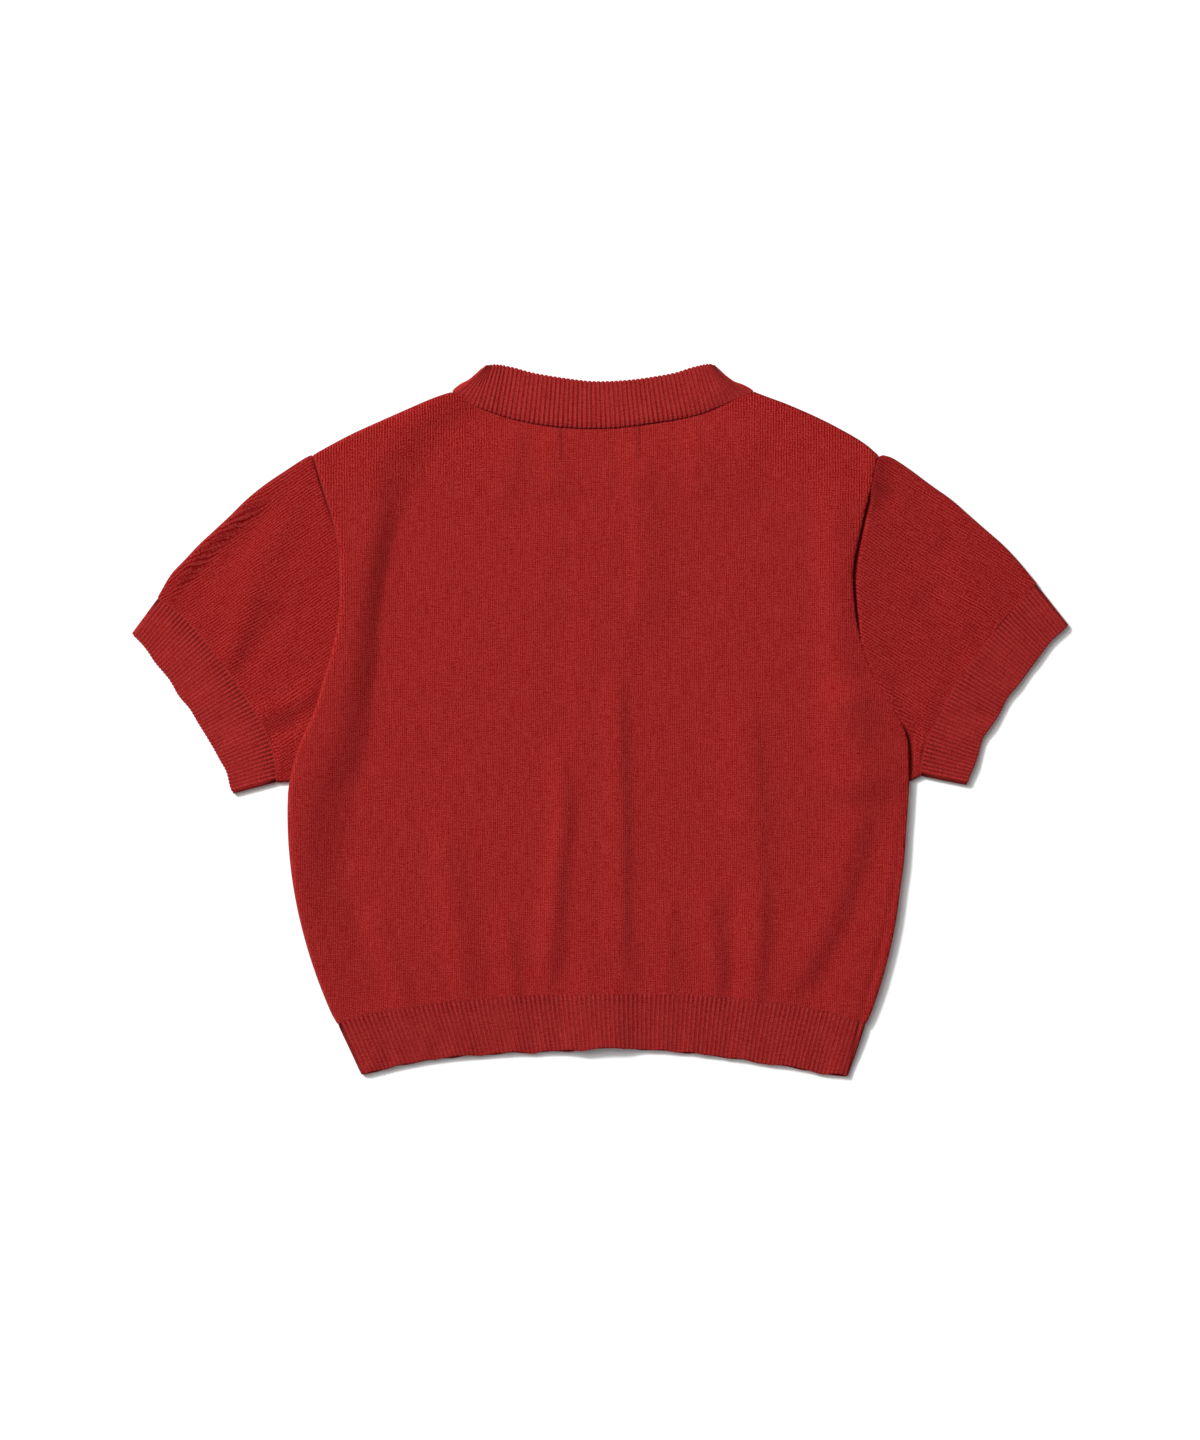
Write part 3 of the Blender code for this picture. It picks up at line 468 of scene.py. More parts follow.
def on_sleeve(x, y, inner, outer):
    """1 where the back layer lies on a sleeve, beside an armhole, and 0 further in and lower down."""
    beside_left = plateau(np.maximum(x - edge_x("left", y), 0.0), inner, outer)
    beside_right = plateau(np.maximum(edge_x("right", y) - x, 0.0), inner, outer)
    return np.maximum(beside_left, beside_right) * smoothstep((y - UNDERARM_Y + 13.9) / 7.9)


def back_underside(x, y):
    """Underside of the back layer, with its edges low, its middle full and its folds."""
    from_left = smoothstep((x - edge_x("left", y)) / SOFT_EDGE)
    from_right = smoothstep((edge_x("right", y) - x) / SOFT_EDGE)
    height = BODY_HEIGHT + (edge_height("left", y) - BODY_HEIGHT) * (1.0 - from_left)
    height = height + (edge_height("right", y) - BODY_HEIGHT) * (1.0 - from_right)
    top_y = TOP_LINE.y_at(x)
    height = SHOULDER_HEIGHT + (height - SHOULDER_HEIGHT) * smoothstep((top_y - y) / SOFT_EDGE)
    above_hem = y - HEM_SEAM.y_at(x)
    seam = np.minimum(HEM_SEAM_HEIGHT, height)
    height = seam + (height - seam) * smoothstep(above_hem / SOFT_EDGE)
    height = height + (HEM_EDGE_HEIGHT - HEM_SEAM_HEIGHT) * smoothstep(-above_hem / SOFT_EDGE)
    folds = fold_rise(BODY_FOLDS, x, y) + left_bulge(x, y)
    height = height + folds * smoothstep((above_hem + SOFT_EDGE) / SOFT_EDGE)
    height = height + 0.10 * waver(x, y, 58.0) + 0.04 * waver(x, y, 23.0, 1.0)
    on_placket = plateau(x, 9.0, 30.0) * smoothstep((FRONT_NECK_Y + 30.0 - y) / 30.0)
    height = height + (np.maximum(height, PLACKET_HEIGHT) - height) * on_placket
    height = np.maximum(height, (SLEEVE_TOP + ROLL_RISE - JERSEY / 2) * on_sleeve(x, y, 6.0, 24.0))
    return np.maximum(height, LOWEST_HEIGHT)


def patch(bottom, top, left, right, across, up):
    """Plan points of a four-sided piece between its edge lines, at shares across and up."""
    u, v = across[None, :, None], up[:, None, None]
    low, high = bottom.at(across)[None, :, :], top.at(across)[None, :, :]
    near, far = left.at(up)[:, None, :], right.at(up)[:, None, :]
    corners = (1 - v) * ((1 - u) * bottom.start + u * bottom.end)
    corners = corners + v * ((1 - u) * top.start + u * top.end)
    return (1 - v) * low + v * high + (1 - u) * near + u * far - corners


# --- Walls of cloth ----------------------------------------------------------------------------------


def rim_steps(length, spacing, ends=(True, True)):
    """Shares of a length with even steps, and close ones at the ends that are rounded."""
    close = np.array((0.0, 0.12, 0.35, 0.7, 1.2)) * RIM
    first = close / length if ends[0] else np.array((0.0,))
    last = 1.0 - close[::-1] / length if ends[1] else np.array((1.0,))
    count = max(int(round((last[0] - first[-1]) * length / spacing)), 1)
    return np.concatenate([first, np.linspace(first[-1], last[0], count + 1)[1:-1], last])


def rounded(share, length, ends=(True, True)):
    """How thick a wall is at shares of a length: thin at a rounded end, full from RIM inwards."""
    start = share * length if ends[0] else np.full_like(share, RIM)
    finish = (1.0 - share) * length if ends[1] else np.full_like(share, RIM)
    near = np.clip(np.minimum(start, finish) / RIM, 0.0, 1.0)
    return 0.25 + 0.75 * np.sqrt(1.0 - (1.0 - near) ** 2)


def groove(distance, width):
    """1 at distance 0, as on a seam's line, and 0 far from it."""
    return np.exp(-((distance / width) ** 2))


def rib_shares(ribs):
    """Shares across a row of ribs and each one's phase: whole numbers in the valleys."""
    phase = np.arange(ribs * RIB_POINTS + 1) / RIB_POINTS
    return phase / ribs, phase


def rib_profile(phase):
    """0 in a rib's valley and 1 on its crest."""
    return np.abs(np.sin(np.pi * phase)) ** 0.7


def rib_strength(phase, along):
    """Ribs differ a little, and bite deepest where they start from the plain knit."""
    each = 1.0 + 0.16 * np.sin(12.9 * np.floor(phase)) + 0.10 * np.sin(4.1 * np.floor(phase) + 1.0)
    return each * (0.72 + 0.45 * groove(along, RIB_START))


def rib_over(crest, strength, along):
    """Depth of a rib's right side: it grows out of the plain knit, and its valleys open at once."""
    grown = smoothstep(along / 4.0)
    valley = (1.0 - crest) * smoothstep(along / 1.2)
    start = JERSEY - RIB / 2
    full = RIB / 2 - start + RIB_RELIEF * crest * strength
    return start + full * grown - 0.35 * valley * (1.3 - 0.6 * grown)


def rib_valley(crest):
    """1 in the valleys between ribs, and 0 up on their crests."""
    return np.clip(1.0 - crest * 1.35, 0.0, 1.0)


def rib_shadow(crest, strength, along, depth=1.0):
    """How much shade is painted into the valleys between ribs: most near the start of the ribs."""
    valley = rib_valley(crest) * smoothstep((along - 0.3) / 0.9)
    return valley * (0.52 + 0.28 * groove(along, RIB_START)) * strength * depth


def rib_map(phase, along):
    """A ribbed piece's map: two wales to each rib, and millimetres along the ribs."""
    return np.stack(np.broadcast_arrays(phase[None, :] * 2 * WALE, along), axis=-1)


def grid_normals(middle, closed):
    if closed:
        across = np.roll(middle, -1, axis=1) - np.roll(middle, 1, axis=1)
    else:
        across = np.gradient(middle, axis=1, edge_order=2)
    along = np.gradient(middle, axis=0)
    found = np.cross(across, along)
    return found / np.linalg.norm(found, axis=2, keepdims=True)


def quads(index):
    return np.stack([index[:-1, :-1], index[:-1, 1:], index[1:, 1:], index[1:, :-1]], axis=-1).reshape(-1, 4)


def wall(name, middle, over, under, knit_map, painted_shade, finish, wrap=None, purl=0.0, side="left"):
    """A closed wall of cloth round its middle grid. over and under are its depths on the right side and
    the wrong side, knit_map gives each point's place in millimetres of knit, the painted shade is 1 deep in
    a seam or between ribs, and purl is 1 where the knit is rough. With wrap, the last column joins the first,
    that far on in the map. On the right, the columns run the other way, so that the faces look out."""
    closed = wrap is not None
    shape = middle.shape[:2]
    over, under, painted_shade = (np.broadcast_to(values, shape) for values in (over, under, painted_shade))
    places = np.broadcast_to(knit_map, shape + (2,))
    if side == "right":
        grids = (middle, over, under, painted_shade, places)
        middle, over, under, painted_shade, places = (grid[:, ::-1] for grid in grids)
    way = grid_normals(middle, closed)
    outer = middle + way * over[..., None]
    inner = middle - way * under[..., None]
    index = np.arange(shape[0] * shape[1]).reshape(shape)
    if closed:
        index = np.hstack([index, index[:, :1]])
        places = np.concatenate([places, places[:, :1] + np.array(wrap)], axis=1)
    corner = np.arange(index.size).reshape(index.shape)
    low, low_corner = index + shape[0] * shape[1], corner + index.size
    faces, corners = [quads(index), quads(low)[:, ::-1]], [quads(corner), quads(low_corner)[:, ::-1]]
    for rows, flip in ((slice(0, 1), True), (slice(-1, None), False)):
        pair, pair_corner = [index[rows], low[rows]], [corner[rows], low_corner[rows]]
        order = slice(None, None, -1) if flip else slice(None)
        faces.append(quads(np.vstack(pair[order])))
        corners.append(quads(np.vstack(pair_corner[order])))
    if not closed:
        for column, flip in ((0, False), (-1, True)):
            pair = [index[:, column], low[:, column]]
            pair_corner = [corner[:, column], low_corner[:, column]]
            order = slice(None, None, -1) if not flip else slice(None)
            faces.append(quads(np.stack(pair[order], axis=1)))
            corners.append(quads(np.stack(pair_corner[order], axis=1)))
    points = np.concatenate([outer.reshape(-1, 3), inner.reshape(-1, 3)]) * MM
    made = add_mesh(name, points, np.concatenate(faces), finish)
    mesh = made.data
    both = np.concatenate([places.reshape(-1, 2)] * 2)
    layer = mesh.uv_layers.new(name="knit")
    layer.data.foreach_set("uv", both[np.concatenate(corners).ravel()].astype(np.float32).ravel())
    # The first attribute is the shade painted into the knit's colour.
    for title, values in (("painted_shade", painted_shade), ("purl", purl)):
        shown = np.broadcast_to(values, shape).ravel()
        attribute = mesh.attributes.new(title, "FLOAT", "POINT")
        attribute.data.foreach_set("value", np.concatenate([shown, shown]).astype(np.float32))
    return made


def add_mesh(name, points, faces, finish):
    mesh = bpy.data.meshes.new(name)
    mesh.from_pydata(points.tolist(), [], faces.tolist())
    mesh.polygons.foreach_set("use_smooth", np.ones(len(faces), bool))
    mesh.update()
    mesh.set_sharp_from_angle(angle=math.radians(62))
    mesh.materials.append(finish)
    made = bpy.data.objects.new(name, mesh)
    bpy.context.scene.collection.objects.link(made)
    return made


def lifted(plan, height):
    return np.concatenate([plan, height[..., None]], axis=-1)


def turned_columns(width, wall_thickness, inner):
    """Shares across a piece whose two side edges are turned down, and each column's rise."""
    angles = np.radians(np.linspace(0.0, 90.0, 7))
    near = (wall_thickness / 2 + ROLL_LEFT * (1 - np.cos(angles))) / width
    far = 1 - (wall_thickness / 2 + ROLL_RIGHT * (1 - np.cos(angles))) / width
    rise = np.sin(angles)
    shares = np.concatenate([near, near[-1] + (far[-1] - near[-1]) * inner, far[::-1]])
    return shares, np.concatenate([rise, np.ones(len(inner)), rise[::-1]])


def walked(place, level):
    """Each point's place across the cloth, measured along it over its folds and turned edges."""
    steps = np.hypot(np.diff(place, axis=1), np.diff(level, axis=1))
    length = np.concatenate([np.zeros((len(place), 1)), np.cumsum(steps, axis=1)], axis=1)
    middle = place.shape[1] // 2
    return length - length[:, middle, None] + place[:, middle, None]


# --- The body ----------------------------------------------------------------------------------------


def edge_end(x, y):
    """Where a turned edge of the back layer ends: on the sleeve beside the armhole, else on the front."""
    front_top = RIB + SEAM_GAP
    end = front_top + (SLEEVE_TOP + SEAM_GAP - front_top) * on_sleeve(x, y, 5.0, 12.0)
    return end + 1.5 * plateau(y - 12.0, 34.0, 60.0) * (x < 0.0)


SIDE_SEAM = Line(
    [
        (212.6, -44.0), (209.2, -80.0), (205.6, -110.0), (200.2, -140.0), (192.4, -170.0), (185.0, -196.0),
        (180.6, -211.5),
    ]
)


def beyond_side_seam(x, y):
    """The right side seam lies a little inside the outline, from the underarm to the hem."""
    return x - np.interp(-y, -SIDE_SEAM.path[:, 1], SIDE_SEAM.path[:, 0])


def side_seam_groove(x, y):
    return groove(beyond_side_seam(x, y), 1.3) * smoothstep((-40.0 - y) / 22.0)


def back_columns():
    width = TOP_LINE.length
    neck_start = Line(SHOULDER_LEFT).length / width
    neck_end = 1 - Line(SHOULDER_RIGHT).length / width
    inner = np.concatenate(
        [
            np.linspace(0, neck_start, 42)[1:-1],
            np.linspace(neck_start, neck_end, 92),
            np.linspace(neck_end, 1, 42)[1:-1],
        ]
    )
    across, rise = turned_columns(HEM_SEAM.length, JERSEY, inner)
    return across, rise, (across > neck_start) & (across < neck_end)


def neck_dip(gap):
    """The body dips into the neck seam."""
    return 0.45 * groove(gap, 1.2) + 0.6 * groove(gap, 12.0)


def beside_stitches(x, width):
    """1 along the two short stitch rows, and 0 away from them."""
    return sum(groove(x - row_x, width) for row_x in STITCH_ROWS_X)


def stitch_dip(x, y):
    """The groove along each of the two short stitch rows below the back neck seam."""
    below = TOP_LINE.y_at(x) - y
    along = smoothstep((27.0 - below) / 3.0) * smoothstep(below / 1.0)
    return 0.36 * beside_stitches(x, 1.5) * along


def make_back_panel(finish):
    across, rise_across, in_neck = back_columns()
    height = SHOULDER_Y - HEM_CORNER_Y
    angles = np.radians(np.linspace(0.0, 90.0, 7))
    inset, rise_up = JERSEY / 2 + ROLL_TOP * (1 - np.cos(angles)), np.sin(angles)
    body = rim_steps(height - inset[-1], 2.45, (False, False)) * (1 - inset[-1] / height)
    up = np.concatenate([body, 1 - inset[-2::-1] / height])
    rises = np.concatenate([np.ones(len(body)), rise_up[-2::-1]])
    plan = patch(HEM_SEAM, TOP_LINE, EDGES["left"], EDGES["right"], across, up)
    plan[-1, in_neck, 1] += JERSEY / 2 + 0.5
    turned = np.where(in_neck, 0.0, 1.0)[None, :]
    rise = rise_across[None, :] * (1 - (1 - rises[:, None]) * turned)
    x, y = plan[..., 0], plan[..., 1]
    level = back_underside(x, y) + JERSEY / 2
    end = np.minimum(edge_end(x, y), level)
    level = end + (level - end) * rise
    in_seam = plateau(x, 76.0, 96.0)
    neck_gap = TOP_LINE.y_at(x) - y
    seam = side_seam_groove(x, y)
    level = level - neck_dip(neck_gap) * in_seam - stitch_dip(x, y) - 0.35 * seam
    outside = smoothstep(beyond_side_seam(x, y) / 5.0) * smoothstep((-40.0 - y) / 22.0)
    level = level + 0.5 * outside * rise
    thick = np.where(in_neck[None, :], rounded(up, height, (False, True))[:, None], 1.0)
    # Painted shade: in the neck seam, the side seam, beside the stitch rows and on the turned-down shoulder
    # edges, and a little over the upper left of the back.
    painted_shade = np.maximum(0.5 * groove(neck_gap, 0.8) * in_seam, 0.22 * seam)
    painted_shade = np.maximum(painted_shade, 0.55 * np.sqrt(1.0 - rises**2)[:, None] * turned)
    painted_shade = np.maximum(painted_shade, 0.24 * beside_stitches(x, 1.1) * smoothstep((25.0 - neck_gap) / 3.0))
    painted_shade = np.maximum(painted_shade, 0.055 * smoothstep((-132.0 - x) / 24.0) * smoothstep((y - 55.0) / 60.0))
    beside = np.minimum(x - edge_x("left", y), edge_x("right", y) - x)
    purl = smoothstep((16.0 - neck_gap) / 9.0) * (1.0 - plateau(x, 84.0, 100.0))
    away = 1.0 - plateau(x - 10.0, 60.0, 120.0)
    purl = np.maximum(purl, 0.6 * smoothstep((84.0 - neck_gap) / 60.0) * away)
    purl = np.maximum(purl, 0.5 * smoothstep((9.0 - beside) / 5.0) * smoothstep((y - 20.0) / 40.0))
    half = JERSEY / 2 * thick
    knit_map = np.stack([walked(x, level), walked(y.T, level.T).T], axis=-1)
    return wall("back_panel_knit", lifted(plan, level), half, half, knit_map, painted_shade, finish, purl=purl)


def make_hem_back(finish):
    inner, phase = rib_shares(HEM_RIBS)
    across, rise = turned_columns(HEM_SEAM.length, RIB, inner[1:-1])
    edge = np.zeros(len(rise) - len(phase) + 2)
    phase = np.concatenate([edge[: len(edge) // 2], phase[1:-1], HEM_RIBS + edge[len(edge) // 2 :]])
    up = rim_steps(HEM_HEIGHT, 2.0, (True, False))
    close = np.array((4.6, 3.4, 2.4, 1.6, 1.1, 0.7, 0.35, 0.0)) / HEM_HEIGHT
    up = np.concatenate([up[up < 0.86], 1.0 - close])
    plan = strip(HEM_EDGE, HEM_SEAM, across, up)
    x, y = plan[..., 0], plan[..., 1]
    to_edge = (1.0 - up)[:, None]
    along = HEM_HEIGHT * to_edge
    wave = 0.9 * waver(x, 0.0 * y, 33.0, 0.4) + 0.5 * waver(x, 0.0 * y, 17.0, 1.9)
    plan[..., 1] += wave * to_edge**3 - 0.35 * (1.0 - rib_profile(phase)) * -(to_edge**24)
    level = back_underside(x, y) + RIB / 2 + (0.9 * wave - 0.9 * (1.0 - plateau(x, 14.0, 40.0))) * to_edge**2
    end = np.full_like(level, RIB + SEAM_GAP)
    level = end + (np.maximum(level, end) - end) * rise[None, :]
    strength = rib_strength(phase[None, :], along)
    crest = rib_profile(phase)[None, :] * rise[None, :]
    seam = 0.7 * groove(x - (180.6 + (y + 211.5) * 0.19), 1.2) * smoothstep((x - 150.0) / 20.0)
    thick = rounded(up, HEM_HEIGHT, (True, False))[:, None]
    over = (rib_over(crest, strength, along) - 0.6 * seam) * thick
    faint_start = 0.3 * smoothstep((x - 50.0) / 60.0) * groove(along, RIB_START)
    # Painted shade: a little over the whole hem, more between the ribs and in the side seam, and along the
    # line where the ribs start.
    painted_shade = np.maximum(0.06 + rib_shadow(crest, strength, along, 1.0 - faint_start), 0.9 * seam)
    start_line = groove(along - 0.7, 0.8) * smoothstep((np.abs(x) - 40.0) / 50.0)
    painted_shade = np.maximum(painted_shade, 0.24 * start_line)
    knit_map = rib_map(phase, HEM_HEIGHT * up[:, None])
    return wall("hem_rib_back_knit", lifted(plan, level), over, RIB / 2 * thick, knit_map, painted_shade, finish)


def strip(edge, seam, across, up):
    """Plan points of a band, from its free edge to its seam."""
    low, high = edge.at(across)[None], seam.at(across)[None]
    return low + (high - low) * up[:, None, None]


def front_neck_seam(side):
    """The seam of the hidden front neckline, from the side of the neck to the band."""
    corner = NECK_SEAM.start if side == "left" else NECK_SEAM.end
    return Line([corner] + [(-inward(side) * x, y) for x, y in FRONT_NECK_SEAM])


def front_panel_plan(side):
    inwards = inward(side)
    band_x = -inwards * (BAND_HALF_WIDTH + SEAM_GAP)
    neck = front_neck_seam(side).at(np.linspace(0, 1, 60))
    neck += np.array((-inwards, -1.0)) * SEAM_GAP / 2
    neck[-1, 0] = band_x
    tuck = ARMHOLE_TUCK + SEAM_GAP
    shoulder_end = (edge_x(side, SHOULDER_Y) + inwards * (tuck + 1.0), SHOULDER_Y - 0.4)
    top = Line([shoulder_end] + list(neck), smooth=False)
    hem = HEM_SEAM.moved(0, SEAM_GAP / 2)
    side_x = edge_x(side, HEM_CORNER_Y) + inwards * 0.6
    bottom = Line([(x, hem.y_at(x)) for x in np.linspace(side_x, band_x, 40)], smooth=False)
    below = [(edge_x(side, y) + inwards * 0.6, y) for y in np.linspace(-204.0, -47.0, 30)]
    beside = [(edge_x(side, y) + inwards * tuck, y) for y in np.linspace(-44.2, 180.0, 50)]
    outer = Line([bottom.start] + below + beside + [shoulder_end], smooth=False)
    inner = Line([bottom.end, top.end], smooth=False)
    corner = top.walked[1] / top.length
    across = np.concatenate([np.linspace(0, corner, 34)[:-1], np.linspace(corner, 1, 52)])
    up = rim_steps(outer.length, 3.2)
    return patch(bottom, top, outer, inner, across, up), up, outer.length


def make_front_panel(side, finish):
    plan, up, length = front_panel_plan(side)
    x, y = plan[..., 0], plan[..., 1]
    rise = fold_rise(FRONT_FOLDS, x, y)
    away = np.clip(np.abs(np.abs(x) - BAND_HALF_WIDTH) / 20.0, 0.0, 1.0)
    middle = lifted(plan, front_underside(side, x, BAND) + rise * away + JERSEY / 2)
    half = JERSEY / 2 * rounded(up, length)[:, None]
    hem_gap = y - HEM_SEAM.y_at(x)
    # Painted shade along the hem seam.
    painted_shade = 0.35 * groove(hem_gap, 1.2)
    return wall(f"front_{side}_knit", middle, half, half, plan, painted_shade, finish, side=side)


def make_front_hem(side, finish):
    band_x = -inward(side) * (BAND_HALF_WIDTH + SEAM_GAP)
    shares, phase = rib_shares(FRONT_HEM_RIBS)
    up = rim_steps(HEM_HEIGHT, 3.0)
    ends = []
    for line in (HEM_EDGE, HEM_SEAM):
        corner = line.at(0.004) if side == "left" else line.at(0.996)
        levels = corner[0] + (band_x - corner[0]) * shares
        ends.append(np.stack([levels, line.y_at(levels)], axis=-1))
    plan = ends[0][None] + (ends[1] - ends[0])[None] * up[:, None, None]
    x = plan[..., 0]
    plan[..., 1] += 0.8 * waver(x, 0.0 * x, 27.0, 2.2) * (1.0 - up)[:, None] ** 2
    thick = rounded(up, HEM_HEIGHT)[:, None]
    along = HEM_HEIGHT * (1.0 - up)[:, None]
    crest, strength = rib_profile(phase)[None, :], rib_strength(phase[None, :], along)
    under = (RIB / 2 - RIB_HOLLOW * (1.0 - crest)) * thick
    middle = lifted(plan, front_underside(side, x, RIB) + RIB / 2)
    # Painted shade between the ribs.
    painted_shade = rib_shadow(crest, strength, along)
    knit_map = rib_map(phase, HEM_HEIGHT * up[:, None])
    over = RIB / 2 * thick
    return wall(f"hem_rib_front_{side}_knit", middle, over, under, knit_map, painted_shade, finish, side=side)


def make_band(name, underside, finish):
    """A button band: ribs along its length, lifted by the buttons under it."""
    shares, phase = rib_shares(BAND_RIBS)
    x = (2 * shares - 1) * BAND_HALF_WIDTH
    hem = HEM_EDGE.y_at(x)
    length = FRONT_NECK_Y + 230.0
    up = rim_steps(length, 2.4)
    y = hem[None, :] + (FRONT_NECK_Y - SEAM_GAP / 2 - hem)[None, :] * up[:, None]
    x = np.broadcast_to(x, y.shape)
    plan = np.stack([x, y], axis=-1)
    middle = lifted(plan, underside + button_lift(x, y) + BAND / 2)
    thick = rounded(up, length)[:, None]
    crest = rib_profile(phase)[None, :] * np.ones_like(y)
    under = (BAND / 2 - 0.4 * (1.0 - crest)) * thick
    # Painted shade between the ribs.
    painted_shade = 0.45 * rib_valley(crest)
    knit_map = rib_map(phase, y)
    return wall(name, middle, BAND / 2 * thick, under, knit_map, painted_shade, finish)


# --- The neckband ------------------------------------------------------------------------------------


def neck_fold(side, start, start_height, up):
    """The half turn at a side of the neck, from the upper layer down to the lower one."""
    bulge = (0.55 - 0.45 * smoothstep((up - 0.8) / 0.2)) + 0.7 * plateau(up - 0.17, 0.06, 0.30)
    across = np.array((-inward(side) * 0.6, 0.8))
    angles = np.radians(np.linspace(78.0, -78.0, 11))
    radius = SHOULDER_HEIGHT / 2
    centre, reach = (start_height + RIB / 2) / 2, (start_height - RIB / 2) / 2
    plan = start[:, None, :] + across * (bulge[:, None] * radius * np.cos(angles))[..., None]
    return lifted(plan, centre[:, None] + reach[:, None] * np.sin(angles)[None, :])


def front_neckband(side, start, up):
    """The hidden front half of the neckband, from the side of the neck past the centre front."""
    inwards = inward(side)
    shares, phase = rib_shares(FRONT_NECK_RIBS)
    lap = np.array((inwards * BAND_HALF_WIDTH, 0.0))
    seam_shift = np.array((inwards, 1.0)) * SEAM_GAP / 2
    seam = Line([start[0]] + [(-inwards * x, y) + seam_shift for x, y in FRONT_NECK_SEAM])
    seam = seam.joined(Line([seam.end, (lap[0], seam.end[1])], smooth=False))
    edge = Line([start[-1]] + [(-inwards * x, y) for x, y in FRONT_NECK_EDGE])
    edge = edge.joined(Line([edge.end, (lap[0], edge.end[1])], smooth=False))
    low, high = seam.at(shares)[None], edge.at(shares)[None]
    plan = low + (high - low) * up[:, None, None]
    underside = front_underside(side, plan[..., 0], RIB)
    return lifted(plan, underside + RIB / 2), phase


def make_neckband(finish):
    """One strip round the neck: in under the back from the right front, over the back, and out again."""
    ribs, phase = rib_shares(NECK_RIBS)
    trim = (RIB / 2 + SHOULDER_HEIGHT / 2) / NECK_SEAM.length
    shares = trim + (1 - 2 * trim) * ribs
    up = rim_steps(NECK_HEIGHT, 2.2)
    spread = (0.0, 0.05, 0.1, 0.16, 0.5), (0.0, 0.006, 0.022, 0.078, 0.5)
    half = np.interp(np.minimum(shares, 1 - shares), *spread)
    tops = np.where(shares < 0.5, half, 1 - half)
    low, high = NECK_SEAM.moved(0, SEAM_GAP / 2).at(shares), NECK_EDGE.at(tops)
    plan = low + (high - low) * up[:, None, None]
    at_end = smoothstep((0.11 - np.minimum(shares, 1 - shares)) / 0.11)
    hollowed = np.where(shares < 0.5, 0.7, 2.3) * at_end * np.sin(math.pi * up[:, None] ** 1.3)
    plan[..., 0] += np.where(shares < 0.5, 0.6, -0.6) * hollowed
    plan[..., 1] += 0.9 * (rib_profile(phase) - 0.6) * (1 - at_end) * up[:, None] ** 22 - 0.8 * hollowed
    x = plan[..., 0]
    height = SHOULDER_HEIGHT + RIB / 2 - 0.6 * groove(NECK_HEIGHT * up[:, None], 1.6) * plateau(x, 76.0, 98.0)
    height = height + 1.5 * (groove(x + 84.0, 17.0) + groove(x - 84.0, 17.0)) * smoothstep(up / 0.4)[:, None]
    height = height + 0.12 * waver(x, plan[..., 1], 37.0, 0.8)
    middles, phases, resting = [lifted(plan, height)], [phase], [np.zeros(len(phase))]
    for side, column in (("left", 0), ("right", -1)):
        turn = neck_fold(side, plan[:, column], height[:, column], up)
        front, front_phase = front_neckband(side, plan[:, column], up)
        piece = np.concatenate([turn, front[:, 1:]], axis=1)
        piece_phase = np.concatenate([np.zeros(turn.shape[1]), front_phase[1:]])
        rest = np.concatenate([np.linspace(0, 1, turn.shape[1]), np.ones(len(front_phase) - 1)])
        if side == "left":
            middles.insert(0, piece[:, ::-1])
            phases.insert(0, -piece_phase[::-1])
            resting.insert(0, rest[::-1])
        else:
            middles.append(piece)
            phases.append(NECK_RIBS + piece_phase)
            resting.append(rest)
    middle = np.concatenate(middles, axis=1)
    phase, resting = np.concatenate(phases), np.concatenate(resting)
    along = NECK_HEIGHT * up[:, None]
    crest, strength = rib_profile(phase)[None, :], rib_strength(phase[None, :], along)
    strength = strength * (0.25 + 0.75 * plateau(middle[..., 0], 68.0, 92.0))
    thick = rounded(up, NECK_HEIGHT)[:, None]
    raised = (NECK_RELIEF * crest * strength - 0.25 * (1 - crest)) * (1 - resting)[None, :]
    sunk = RIB_HOLLOW * (1 - crest) * resting[None, :]
    in_seam = plateau(middle[..., 0], 76.0, 96.0)
    # Painted shade between the ribs and in the neck seam.
    painted_shade = np.maximum(rib_shadow(crest, strength, along, 0.48), 0.45 * groove(along, 0.7) * in_seam)
    knit_map = rib_map(phase, along)
    over = (RIB / 2 + raised - sunk) * thick
    return wall("neckband_knit", middle, over, RIB / 2 * thick, knit_map, painted_shade, finish)


# --- Sleeves and cuffs -------------------------------------------------------------------------------


def tube_ring(width, wall_thickness, fold_height, upper, lower):
    """Columns round a flattened tube from the underarm fold: share across, and layer from 0 to 1."""
    turns = np.radians(np.linspace(-75.0, 75.0, 11))
    radius = fold_height / 2
    turn_shares = (wall_thickness / 2 + radius * (1 - np.cos(turns))) / width
    turn_layers = 0.5 + 0.5 * np.sin(turns)
    start = (wall_thickness / 2 + radius) / width
    upper = start + (1 - 2 * start) * upper
    lower = 1 - start - (1 - 2 * start) * lower
    shares = np.concatenate([turn_shares, upper, 1 - turn_shares[::-1], lower])
    layer = np.concatenate([turn_layers, np.ones(len(upper)), turn_layers[::-1], np.zeros(len(lower))])
    return shares, layer, len(turns)


def sleeve_lines(side):
    seam = Line(CUFF_SEAM_POINTS[side][::-1])
    fold = Line(SLEEVE_FOLD_POINTS[side][:-1] + [tuple(seam.end)])
    beside = side_line(side, UNDERARM_Y, fold.start[1], inset=-0.2)
    start = Line(list(beside.path[:-1]) + [fold.start], smooth=False)
    under = Line([start.start, seam.start], smooth=False)
    return start, seam, under, fold


